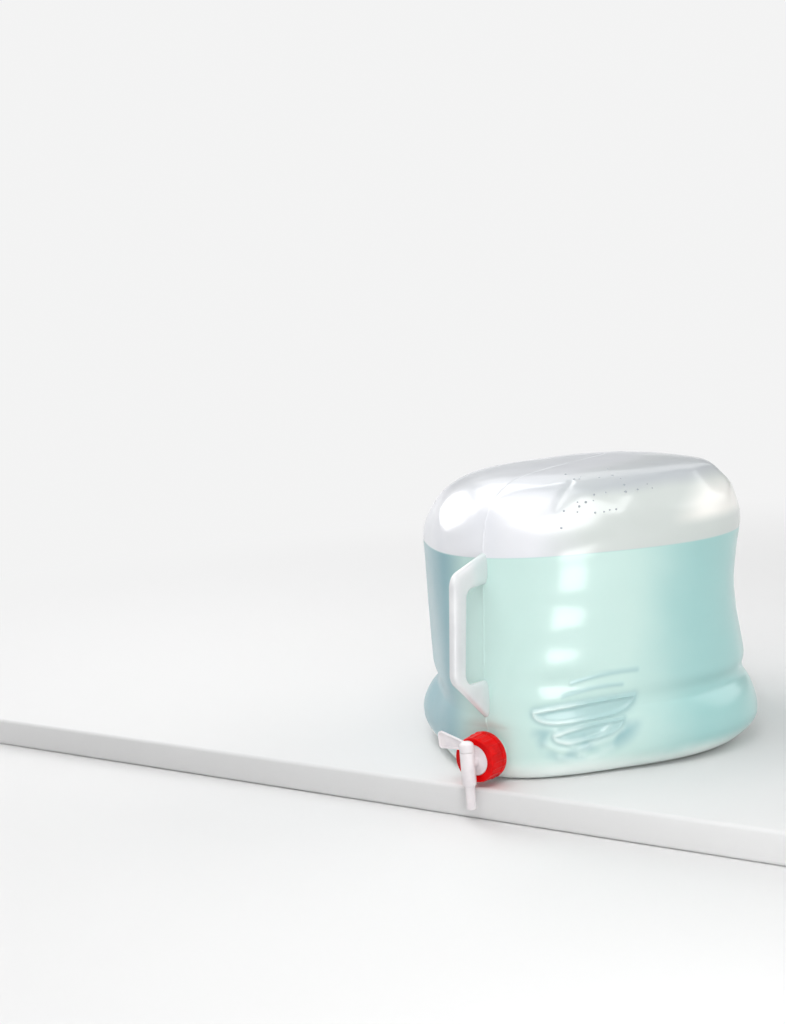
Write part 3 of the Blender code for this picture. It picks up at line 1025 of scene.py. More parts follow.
@dataclass(frozen=True)
class PlainPlastic:
    """Coloured moulded plastic with a faint mottle and a darker tone in places."""

    finish: Finish
    main: Colour
    shade: Colour
    mottle: float = 0.012
    mottle_rise: Rise = (0.40, 0.70)
    root: Optional[Colour] = None
    root_reach: Rise = (0.190, 0.172)
    root_share: float = 0.8

    def make(self, effects: SharedEffects) -> bpy.types.Material:
        """Builds the material.

        Args:
            effects: The shared node groups.

        Returns:
            The material.
        """
        made, graph, shader, place = self.finish.start(effects)
        cloud = graph.noise(place, self.mottle, detail=3.0)
        base = graph.mix(graph.ramp(cloud, *self.mottle_rise), self.main, self.shade)
        if self.root:
            reach = call("ABSOLUTE", graph.split(place)[1])
            base = graph.mix(graph.ramp(reach, *self.root_reach) * self.root_share, base, self.root)
        graph.feed(shader.inputs["Base Color"], base)
        return made


GRIP_PLASTIC = PlainPlastic(
    Finish("grip_polyethylene", 0.33, 0.06, 0.0060, specular=0.6, coat=0.8, coat_roughness=0.20, depth=0.20),
    colour(0xDEDFE0), colour(0xD4D5D7), mottle=0.040, root=colour(0xD2DEDD),
)
RED_PLASTIC = PlainPlastic(
    Finish("red_polypropylene", 0.32, 0.05, 0.0030, 0.00001, specular=0.08, coat=0.15, coat_roughness=0.08),
    colour(0xDE0002), colour(0xC60002),
)
WHITE_PLASTIC = PlainPlastic(
    Finish("white_polypropylene", 0.33, 0.06, 0.0030, 0.00001, coat=0.4, coat_roughness=0.10, depth=0.08),
    colour(0xE6E0E2), colour(0xDCD6D9),
)
RUBBER = PlainPlastic(
    Finish("washer_elastomer", 0.60, 0.15, 0.0006, 0.00003),
    colour(0xCDCDC8), colour(0xBDBDB8), mottle=0.004,
)
# Painted shade: the clear drops are coloured darker grey to stand in for their dark rims.
DROP_PLASTIC = PlainPlastic(
    Finish("condensation", 0.10, 0.05, 0.0010, 0.00001, coat=0.6, coat_roughness=0.04),
    colour(0xA7AEB4), colour(0x8F979E), mottle=0.004,
)


@dataclass
class Container:
    """The blow-moulded body with its neck."""

    crescents: tuple[Crescent, ...] = (
        Crescent(middle=0.0370, half_length=0.0465, top=0.0680, depth=0.0135, bow=0.0010),
        Crescent(middle=0.0350, half_length=0.0320, top=0.0465, depth=0.0100, bow=0.0020, tilt=0.14),
        Crescent(middle=0.0285, half_length=0.0275, top=0.0800, depth=0.0, bow=0.0020, tilt=0.10),
        Crescent(middle=0.0165, half_length=0.0305, top=0.0915, depth=0.0, bow=0.0020, tilt=0.10),
    )
    flats: tuple[Flat, ...] = (
        Flat(4.0, 40.0, 0.0050),
        Flat(-27.0, 38.0, 0.0060),
        Flat(-56.0, 30.0, 0.0040),
        Flat(-66.0, 46.0, 0.0035),
        Flat(-118.0, 42.0, 0.0040),
        Flat(165.0, 40.0, 0.0050),
        Flat(128.0, 46.0, 0.0040),
        Flat(88.0, 38.0, 0.0045),
        Flat(36.0, 42.0, 0.0030),
    )
    flat_blend: float = 0.0040
    rib_high: float = 0.0016
    faint_high: float = 0.0004
    rib_width: float = 0.0016
    wrinkles: tuple[tuple[Place, ...], ...] = (
        ((0.076, 0.036), (0.062, 0.028), (0.046, 0.0265), (0.026, 0.032), (0.004, 0.042)),
        ((0.064, 0.022), (0.050, 0.016), (0.034, 0.017), (0.016, 0.026)),
        ((0.066, 0.046), (0.055, 0.034), (0.042, 0.022)),
        ((0.016, 0.046), (0.030, 0.034), (0.046, 0.022)),
    )
    fold: tuple[Point, ...] = ((0.0596, -0.0956, 0.2637), (0.0590, -0.1236, 0.2484))
    ridge: tuple[Point, ...] = (
        (0.0596, -0.0956, 0.2637), (0.0860, -0.1010, 0.2460), (0.1142, -0.0886, 0.2298)
    )
    heart_height: float = 0.140
    strip_share: float = 0.08
    wrinkle_high: float = 0.0005
    wrinkle_width: float = 0.0026
    fold_deep: float = 0.0014
    fold_width: float = 0.0030
    ridge_high: float = 0.0010
    ridge_width: float = 0.0110
    seam_high: float = 0.0006
    seam_width: float = 0.0008
    seam_fade: Rise = (0.215, 0.250, 1.0, 0.5)
    rib_fade: Rise = (0.046, 0.056, 0.55, 1.0)
    hollow_width: float = 0.0040
    hollow_deep: float = 0.0004
    ripple: float = 0.0012
    ripple_size: float = 0.055
    ripple_rest: float = 0.85
    wave_high: float = 0.00006
    pane_high: float = 0.00028
    pane_turn: float = math.radians(-66)
    pane_spread: float = math.radians(10)
    pane_fade: Rise = (0.112, 0.095, 1.0, 3.0)
    wave_length: float = 0.0335
    wave_crest: float = 0.1746
    wave_drift: float = 0.006
    drift_size: float = 0.120
    wave_low: Rise = (0.050, 0.080)
    wave_top: Rise = (0.235, 0.205)
    relief_start: Rise = (0.0, 0.010)
    facet_slope: float = 0.6
    facet_blend: float = 0.0080
    least_facing: float = 0.2
    # Painted shade inside the boats, and darker patches by the lower boat.
    field_edge: Rise = (0.0045, 0.0015)
    field_shade: float = 0.62
    patch_size: float = 0.026
    patch_rise: Rise = (0.38, 0.58)
    patch_low: Rise = (0.054, 0.044)
    patch_reach: Rise = (0.022, 0.007)
    # Painted shade beside the strong ribs and along the faint ones.
    hollow_shade: float = 0.8
    faint_shade: float = 0.6
    faint_width: float = 0.0019
    # Painted highlight: how light the wrinkles are, and the reach over which the rib crests turn lighter
    # towards their left ends.
    wrinkle_light: float = 0.3
    light_reach: Rise = (-0.030, -0.060)
    inside_inset: float = 0.0042
    neck_start: float = 0.172
    neck_fill: float = 0.003
    neck_sides: int = 96
    thread_high: float = 0.0012
    thread_turns: float = 1.5
    bore_start: float = 0.1540

    def columns(self, fine: bool) -> list[float]:
        """Directions of the wall's columns, closest at the parting line and across the ribs.

        Args:
            fine: Whether this is the outside, which carries the ribs.

        Returns:
            Angles, anticlockwise from the near corner.
        """
        half_turn, seam_end, rib_end, coarse_start = 180.0, 12.0, 56.0, 14.0
        closest, growth, seam_step, rib_step, plain_step, coarse_step = 0.1, 0.25, 0.5, 0.45, 1.5, 4.0
        offsets = [0.0]
        while offsets[-1] < half_turn:
            here = offsets[-1]
            edge = min(here, half_turn - here)
            if not fine:
                step = plain_step if here < coarse_start else coarse_step
            elif seam_end <= here <= rib_end:
                step = rib_step
            else:
                step = min(seam_step if here < seam_end else plain_step, closest + growth * edge)
            offsets.append(min(half_turn, here + step))
        near = half_turn / 2
        right = [math.radians(offset - near) for offset in offsets]
        left = [math.radians(-near - offset) for offset in reversed(offsets[1:-1])]
        return right + left

    def rows(self, inset: float, fine: bool) -> list[tuple[float, float]]:
        """The wall's rows from its base to its top.

        Args:
            inset: How much the shape is shrunk.
            fine: Whether this is the outside.

        Returns:
            For each row its lean over the shoulder and its height below the shoulder. A lean under 0 is
            a place on the flat base, which is that much nearer to the axis.
        """
        edge = FORM.base_radius - inset
        base_steps, low_step, wall_step, top_step = 5, 0.003, 0.012, 0.014
        if fine:
            base_steps, low_step, wall_step, top_step = 8, 0.00115, 0.0040, 0.0045
        rib_top = 0.095
        rows = [(-0.5, inset)]
        rows += [(0.0, inset + edge * (1 - math.cos(QUARTER * i / base_steps))) for i in range(base_steps)]
        height = FORM.base_radius
        while height < FORM.shoulder_start - wall_step / 2:
            rows.append((0.0, height))
            height += low_step if height < rib_top else wall_step
        rows.append((0.0, FORM.shoulder_start))
        power = 2 / FORM.shoulder_power
        top = FORM.height - inset - FORM.shoulder_start
        last = Vector((FORM.half_side, 0.0))
        samples = 4000
        for i in range(1, samples):
            lean = QUARTER * i / samples
            here = Vector((FORM.half_side * math.cos(lean) ** power, top * math.sin(lean) ** power))
            if (here - last).length >= top_step:
                rows.append((lean, FORM.shoulder_start))
                last = here
        return rows

    def sheet(self, name: str, inset: float, fine: bool) -> bpy.types.Object:
        """The closed net of the wall, which holds direction, lean and height in place of X, Y and Z.

        Args:
            name: The net's name.
            inset: How much the shape is shrunk.
            fine: Whether this is the outside.

        Returns:
            The net, for the tree to bend.
        """
        angles = self.columns(fine)
        shape = bmesh.new()
        loops = [
            [shape.verts.new((angle, lean, height)) for angle in angles]
            for lean, height in self.rows(inset, fine)
        ]
        base = shape.verts.new((0.0, -1.0, inset))
        peak = shape.verts.new((0.0, QUARTER, FORM.shoulder_start))
        count = len(angles)
        for i in range(count):
            j = (i + 1) % count
            for low, high in zip(loops, loops[1:]):
                shape.faces.new((low[i], low[j], high[j], high[i]))
            shape.faces.new((base, loops[0][j], loops[0][i]))
            shape.faces.new((loops[-1][i], loops[-1][j], peak))
        return new_object(name, mesh_from(name, shape, outward=False))

    def wall_tree(self, paint: bpy.types.Material) -> Graph:
        """The tree that bends the net into the body and raises its seam and ribs.

        Args:
            paint: The wall's material.

        Returns:
            The tree, whose inputs are the body's sizes.
        """
        graph = Graph.geometry("moulded_wall")
        sizes = {item.name: getattr(FORM, item.name) for item in fields(FORM)}
        form = replace(FORM, **{name: graph.number(title(name), size) for name, size in sizes.items()})
        inset = graph.number("Inset", 0.0)
        relief = graph.number("Relief", 1.0)
        near = {}
        for name in ("strong_ribs", "faint_ribs", "wrinkles", "boat_fields", "fold", "ridge"):
            guide = graph.socket(title(name), "NodeSocketObject")
            line = graph.value("GeometryNodeObjectInfo", {"Object": guide}, out="Geometry")
            measure = graph.node("GeometryNodeProximity", {0: line}, target_element="FACES")
            near[name] = Value(graph, measure.outputs["Distance"])
        spot = self.bent(graph, form, inset)
        shape = graph.placed(spot)
        high, masks = self.relief(graph, near)
        push = graph.scaled(graph.value("GeometryNodeInputNormal"), high * relief)
        shape = graph.value("GeometryNodeSetPosition", {"Geometry": shape, "Offset": push})
        for name, mask in masks.items():
            feeds = {"Geometry": shape, "Name": name, "Value": mask}
            shape = graph.value("GeometryNodeStoreNamedAttribute", feeds)
        graph.finish_geometry(shape, paint)
        return graph

    def bent(self, graph: Graph, form: BodyForm, inset: Value) -> Value:
        """The place on the body for a place on the net.

        Args:
            graph: The tree.
            form: The body's sizes, as the tree's inputs.
            inset: How much the shape is shrunk.

        Returns:
            The place, on the rounded cube with its facet and flats.
        """
        angle, lean, low_height = graph.split(graph.value("GeometryNodeInputPosition"))
        over = call("MAXIMUM", lean, 0.0)
        power = 2.0 / (form.shoulder_power * form.fullness(angle))
        top = form.height - inset - form.shoulder_start
        height = low_height + top * call("POWER", call("SINE", over), power)
        shoulder = call("POWER", call("MAXIMUM", call("COSINE", over), 0.0), power)
        radius = form.radius(angle, height, shoulder, inset)
        radius = radius * call("MINIMUM", 1.0 + lean, 1.0)
        ceiling = call("MAXIMUM", height - (form.facet_top + inset), 0.0) * self.facet_slope
        facing = call("MAXIMUM", call("COSINE", angle + QUARTER), self.least_facing)
        facet = (form.facet_reach - inset + ceiling) / facing
        radius = graph.maths("SMOOTH_MIN", radius, facet, self.facet_blend)
        spot = graph.join(radius * call("COSINE", angle), radius * call("SINE", angle), height)
        for flat in self.flats:
            normal = flat.normal()
            along = graph.dot(spot, normal)
            past = graph.maths("SMOOTH_MAX", along + inset - flat.limit(), 0.0, self.flat_blend)
            back = graph.scaled(normal, past)
            spot = graph.value("ShaderNodeVectorMath", {0: spot, 1: back}, operation="SUBTRACT")
        return spot

    def relief(self, graph: Graph, near: dict[str, Value]) -> tuple[Value, dict[str, Value]]:
        """How far the wall stands out at a place, and the masks of painted highlight and painted shade that
        its material tints by.

        Args:
            graph: The tree.
            near: The distance to each guide.

        Returns:
            The height of the relief, and the masks by name.
        """
        here = graph.value("GeometryNodeInputPosition")
        x, y, z = graph.split(here)
        crest = bell(near["strong_ribs"], self.rib_width)
        faint = bell(near["faint_ribs"], self.rib_width)
        wrinkle = bell(near["wrinkles"], self.wrinkle_width)
        hollow = call("MAXIMUM", bell(near["strong_ribs"], self.hollow_width) - crest, 0.0)
        strength = graph.ramp(z, *self.rib_fade)
        high = self.rib_high * strength * crest + self.faint_high * faint + self.wrinkle_high * wrinkle
        high = high - self.hollow_deep * hollow - self.fold_deep * bell(near["fold"], self.fold_width)
        high = high + self.ridge_high * bell(near["ridge"], self.ridge_width)
        drift = graph.noise(here, self.drift_size, detail=0.0) - 0.5
        phase = (z - self.wave_crest + self.wave_drift * drift) * (2 * math.pi / self.wave_length)
        wall_share = graph.ramp(z, *self.wave_low) * graph.ramp(z, *self.wave_top)
        column = bell(graph.maths("ARCTAN2", y, x) - self.pane_turn, self.pane_spread)
        pane = self.pane_high * column * graph.ramp(z, *self.pane_fade)
        wave = (self.wave_high + pane) * wall_share * (call("COSINE", phase) - 1.0)
        seam = bell(x, self.seam_width) * graph.ramp(z, *self.seam_fade)
        swirl = graph.noise(here, self.ripple_size, detail=1.0)
        high = high + wave + self.seam_high * (seam - 1.0) + self.ripple * (swirl - self.ripple_rest)
        # Painted shade inside the boats and beside the ribs, and darker patches by the lower boat.
        inside = graph.ramp(near["boat_fields"], *self.field_edge)
        patch = graph.ramp(graph.noise(here, self.patch_size, detail=1.0), *self.patch_rise)
        low = graph.ramp(z, *self.patch_low) * graph.ramp(near["boat_fields"], *self.patch_reach) * patch
        faint_shadow = self.faint_shade * bell(near["faint_ribs"], self.faint_width)
        shadow = call("MAXIMUM", self.hollow_shade * hollow, faint_shadow)
        # Painted highlight on the rib crests, brightest at their left ends, and on the wrinkles.
        bright = graph.ramp((x + y) * DIAGONAL, *self.light_reach)
        masks = {
            "rib_crest": bright * crest + self.wrinkle_light * wrinkle,
            "rib_hollow": call("MAXIMUM", shadow, call("MAXIMUM", self.field_shade * inside, low)),
        }
        return high * graph.ramp(z, *self.relief_start), masks

    def guide(self, name: str, lines: Sequence[tuple[list[Vector], bool]]) -> bpy.types.Object:
        """Strips that stand through the wall along lines, for the tree to measure from.

        Args:
            name: The guide's name.
            lines: The places of each line, and whether it closes.

        Returns:
            An object of strips, to be deleted afterwards.
        """
        heart = Vector((0.0, 0.0, self.heart_height))
        places: list[Vector] = []
        strips = []
        for line, closed in lines:
            first = len(places)
            for place in line:
                out = (place - heart) * self.strip_share
                places += [place - out, place + out]
            count = len(line)
            for i in range(count if closed else count - 1):
                here, ahead = first + 2 * i, first + 2 * ((i + 1) % count)
                strips.append((here, here + 1, ahead + 1, ahead))
        mesh = bpy.data.meshes.new(name)
        mesh.from_pydata(places, [], strips)
        return new_object(name, mesh)

    def fields(self) -> bpy.types.Object:
        """The areas inside the closed ribs, as patches just inside the wall.

        Returns:
            An object of patches, to be deleted afterwards.
        """
        places: list[Vector] = []
        patches = []
        for rib in self.crescents:
            if not rib.depth:
                continue
            first, count = len(places), rib.steps
            places += [FORM.on_face(*place) for place in rib.path()]
            last = first + 2 * count - 1
            patches += [(first + i, first + i + 1, last - i - 1, last - i) for i in range(count - 1)]
        mesh = bpy.data.meshes.new("boat_fields")
        mesh.from_pydata(places, [], patches)
        return new_object("boat_fields", mesh)

    def guides(self) -> dict[str, bpy.types.Object]:
        """The lines that the tree measures from.

        Returns:
            The guides, by the name of the tree's input.
        """
        strong, faint = [], []
        for rib in self.crescents:
            line = [FORM.on_face(*place) for place in rib.path()]
            (strong if rib.depth else faint).append((line, rib.depth > 0))
        wrinkles = [([FORM.on_face(*place) for place in line], False) for line in self.wrinkles]
        lines = {
            "strong_ribs": strong,
            "faint_ribs": faint,
            "wrinkles": wrinkles,
            "fold": [([Vector(place) for place in self.fold], False)],
            "ridge": [([Vector(place) for place in self.ridge], False)],
        }
        made = {name: self.guide(name, line) for name, line in lines.items()}
        return {"boat_fields": self.fields(), **made}

    def build(self, paint: bpy.types.Material) -> bpy.types.Object:
        """Makes the body: outside, neck with its thread, inside and bore.

        Args:
            paint: The wall's material.

        Returns:
            The finished piece.
        """
        tree = self.wall_tree(paint)
        guides = self.guides()
        body = self.sheet("milky_body", 0.0, fine=True)
        grow(body, tree, **guides)
        inside = self.sheet("body_inside", self.inside_inset, fine=False)
        grow(inside, tree, inset=self.inside_inset, relief=0.0, **guides)
        for item in guides.values():
            bpy.data.objects.remove(item, do_unlink=True)
        profile = turned([
            (self.neck_start, NECK.collar_radius, 0.0),
            (NECK.collar_end, NECK.collar_radius, EDGE),
            (NECK.collar_end, NECK.radius, 0.0),
            (NECK.end, NECK.radius, EDGE),
            (NECK.end, NECK.bore - self.neck_fill, 0.0),
        ])
        neck = NECK.spun("neck", profile, self.neck_sides)
        thread = screw_thread(
            "neck_thread", NECK.radius, self.thread_high, NECK.thread_start, self.thread_turns, 0.0
        )
        ends = [(reach, NECK.bore) for reach in (self.bore_start, NECK.end + OVERLAP)]
        bore = NECK.spun("neck_bore", ends, self.neck_sides)
        carve(body, [(Cut.ADD, neck), (Cut.ADD, thread), (Cut.TAKE, inside), (Cut.TAKE, bore)])
        dress(body, paint)
        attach(body, "container")
        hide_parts("container_shell")
        return body


@dataclass
class Condensation:
    """A few drops of condensed water on the dry part of the wall."""

    middle: Point = (0.088, -0.090, 0.250)
    spread: float = 0.034
    above: float = 0.222
    density: float = 14000.0
    apart: float = 0.0042
    smallest: float = 0.0006
    largest: float = 0.0013
    flatness: float = 0.55
    roundness: int = 3
    seed: int = 7

    def sizes(self) -> dict[str, float]:
        """The tree's inputs, in order."""
        return {name: getattr(self, name) for name in ("density", "apart", "smallest", "largest", "spread")}

    def tree(self, paint: bpy.types.Material) -> Graph:
        """The tree that scatters the drops over a wall.

        Args:
            paint: The drops' material.

        Returns:
            The tree, which starts from the wall's mesh.
        """
        graph = Graph.geometry("condensed_drops")
        density, apart, smallest, largest, spread = (
            graph.number(title(name), size) for name, size in self.sizes().items()
        )
        here = graph.value("GeometryNodeInputPosition")
        measure = graph.node("ShaderNodeVectorMath", {0: here, 1: self.middle}, operation="DISTANCE")
        away = Value(graph, measure.outputs["Value"])
        normal = graph.value("GeometryNodeInputNormal")
        outward = graph.dot(here, normal)
        height = graph.split(here)[2]
        wall = graph.value("FunctionNodeCompare", {0: outward, 1: 0.0}, operation="GREATER_THAN")
        dry = graph.value("FunctionNodeCompare", {0: height, 1: self.above}, operation="GREATER_THAN")
        outside = graph.value("FunctionNodeBooleanMath", {0: wall, 1: dry}, operation="AND")
        scatter = graph.node("GeometryNodeDistributePointsOnFaces", {
            "Mesh": graph.entry.outputs[0], "Selection": outside, "Distance Min": apart,
            "Density Max": density, "Density Factor": bell(away, spread), "Seed": self.seed,
        }, distribute_method="POISSON")
        drop = graph.value("GeometryNodeMeshIcoSphere", {"Radius": 1.0, "Subdivisions": self.roundness})
        limits = {2: smallest, 3: largest, 8: self.seed}
        size = graph.value("FunctionNodeRandomValue", limits, out=1, data_type="FLOAT")
        scale = graph.join(size, size, size * self.flatness)
        drops = graph.value("GeometryNodeInstanceOnPoints", {
            "Points": scatter.outputs["Points"], "Instance": drop,
            "Rotation": scatter.outputs["Rotation"], "Scale": scale,
        })
        graph.finish_geometry(drops, paint)
        return graph

    def build(self, wall: bpy.types.Object, paint: bpy.types.Material) -> bpy.types.Object:
        """Makes the drops.

        Args:
            wall: The finished body that they sit on.
            paint: Their material.

        Returns:
            The finished piece.
        """
        drops = new_object("condensed_drops", wall.data.copy())
        grow(drops, self.tree(paint), **self.sizes())
        dress(drops, paint)
        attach(drops, "container")
        return drops


@dataclass
class Grip:
    """A C-shaped hand grip on an upright corner, a flattened tube that swells into two arms."""

    name: str
    node: str
    side: int
    thick: float = 0.0100
    power: float = 2.9
    sunk: float = 0.0012
    around: int = 40
    flash: float = 0.0004
    outer_ends: Place = (0.210, 0.060)
    outer_bends: tuple[Place, Place] = ((0.2095, 0.198), (0.2215, 0.104))
    outer_round: float = 0.014
    inner_ends: Place = (0.182, 0.094)
    inner_bends: tuple[Place, Place] = ((0.192, 0.182), (0.205, 0.096))
    inner_round: float = 0.011
    arm_steps: int = 10
    bend_steps: int = 12
    bar_steps: int = 30
    soft_edge: float = math.radians(75)

    def edge(self, ends: Place, bends: Sequence[Place], radius: float) -> list[Vector]:
        """One outline of the grip in the parting plane, as reach and height, top to bottom.

        Args:
            ends: The heights at which it meets the body.
            bends: Its two corners.
            radius: Their rounding.

        Returns:
            The places, as many for the outer outline as for the inner one.
        """
        top, low = ((FORM.reach(height, self.side) - self.sunk, height) for height in ends)
        chain = rounded([top, *bends, low], [radius, radius], steps=self.bend_steps)
        bend = self.bend_steps + 1
        upper, lower = chain[1:1 + bend], chain[1 + bend:-1]
        places = [chain[0].lerp(upper[0], i / self.arm_steps) for i in range(self.arm_steps)]
        places += upper
        places += [upper[-1].lerp(lower[0], i / self.bar_steps) for i in range(1, self.bar_steps)]
        places += lower
        places += [lower[-1].lerp(chain[-1], i / self.arm_steps) for i in range(1, self.arm_steps + 1)]
        return places

    def build(self, paint: bpy.types.Material) -> bpy.types.Object:
        """Makes the grip.

        Args:
            paint: Its material.

        Returns:
            The finished piece.
        """
        outer = self.edge(self.outer_ends, self.outer_bends, self.outer_round)
        inner = self.edge(self.inner_ends, self.inner_bends, self.inner_round)
        rings = []
        for out, back in zip(outer, inner):
            middle, reach = (out + back) / 2, (out - back) / 2
            ring = []
            for k in range(self.around):
                turn = 2 * math.pi * k / self.around
                cosine, sine = math.cos(turn), math.sin(turn)
                along = math.copysign(abs(cosine) ** (2 / self.power), cosine)
                across = math.copysign(abs(sine) ** (2 / self.power), sine) * self.thick / 2
                place = middle + reach * along
                if k != 0:
                    place = place - reach.normalized() * self.flash
                ring.append(Vector((across, self.side * place.x, place.y)))
            rings.append(ring)
        grip = new_object(self.name, loft(self.name, rings))
        dress(grip, paint, sharp=self.soft_edge)
        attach(grip, "container")
        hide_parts(self.node)
        return grip


@dataclass
class ScrewRing:
    """The red screw ring: a ribbed skirt that flares to its rear, a front lip and an inside thread."""

    rear: float = 0.1775
    front: float = 0.1982
    bore: float = 0.0189
    rear_radius: float = 0.0219
    front_radius: float = 0.0206
    lip: float = 0.0145
    skirt_end: Place = (0.1825, 0.0218)
    body_start: Place = (0.1835, 0.0213)
    ribs: int = 20
    rib_high: float = 0.0006
    rib_rear: Rise = (0.1781, 0.1797)
    rib_front: Rise = (0.1970, 0.1952)
    rib_skin: Rise = (0.0197, 0.0201)
    steps_per_rib: int = 16
    net_step: float = 0.0012
    front_thick: float = 0.0020
    thread_high: float = -0.0010
    thread_turns: float = 1.25
    thread_lag: float = 0.25

    def tree(self, paint: bpy.types.Material) -> Graph:
        """The tree that rolls the net up and raises the ribs.

        Args:
            paint: The ring's material.

        Returns:
            The tree. Its net holds angle, reach and radius.
        """
        graph = Graph.geometry("ribbed_ring")
        ribs = graph.number("Ribs", float(self.ribs))
        high = graph.number("Rib high", self.rib_high)
        angle, reach, radius = graph.split(graph.value("GeometryNodeInputPosition"))
        wave = call("MAXIMUM", call("COSINE", ribs * angle), 0.0)
        behind = graph.ramp(reach, *self.rib_rear)
        ahead = graph.ramp(reach, *self.rib_front)
        outside = graph.ramp(radius, *self.rib_skin)
        out = radius + high * call("SQRT", wave) * behind * ahead * outside
        spot = graph.join(out * call("COSINE", angle), -reach, NECK.height + out * call("SINE", angle))
        shape = graph.placed(spot)
        graph.finish_geometry(shape, paint)
        return graph

    def net(self) -> bpy.types.Mesh:
        """The ring's skin laid flat, which holds angle, reach and radius in place of X, Y and Z.

        Returns:
            The net, closed round the ring and round its profile.
        """
        lip_back = NECK.end + 3 * NECK.gap + NECK.gasket + self.front_thick
        corners = [
            (self.rear, self.bore, 0.0003), (self.rear, self.rear_radius, 0.0005),
            (*self.skirt_end, 0.0004), (*self.body_start, 0.0004),
            (self.front, self.front_radius, 0.0014), (self.front, self.lip, 0.0005),
            (lip_back, self.lip, 0.0002), (lip_back, self.bore, 0.0002),
        ]
        places = [(reach, radius) for reach, radius, _ in corners]
        loop = [places[-1], *places, places[0]]
        profile = rounded(loop, [edge for _, _, edge in corners], steps=5)[1:-1]
        count = self.ribs * self.steps_per_rib
        turn = 2 * math.pi / count
        stretched: list[Vector] = []
        for start, end in zip(profile, profile[1:] + profile[:1]):
            cuts = max(1, round((end - start).length / self.net_step))
            stretched += [start.lerp(end, i / cuts) for i in range(cuts)]
        shape = bmesh.new()
        loops = [
            [shape.verts.new((i * turn, reach, radius)) for i in range(count)] for reach, radius in stretched
        ]
        for low, high in zip(loops, loops[1:] + loops[:1]):
            band(shape, low, high)
        return mesh_from("red_ring", shape, outward=False)

    def build(self, paint: bpy.types.Material) -> bpy.types.Object:
        """Makes the ring.

        Args:
            paint: Its material.

        Returns:
            The finished piece.
        """
        ring = new_object("red_ring", self.net())
        grow(ring, self.tree(paint), ribs=float(self.ribs), rib_high=self.rib_high)
        rolled = bmesh.new()
        rolled.from_mesh(ring.data)
        bmesh.ops.recalc_face_normals(rolled, faces=rolled.faces)
        rolled.to_mesh(ring.data)
        rolled.free()
        start = NECK.thread_start + NECK.pitch * self.thread_lag
        thread = screw_thread("ring_thread", self.bore, self.thread_high, start, self.thread_turns, -QUARTER)
        carve(ring, [(Cut.ADD, thread)])
        dress(ring, paint)
        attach(ring, "ring")
        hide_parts("cap_ring")
        return ring


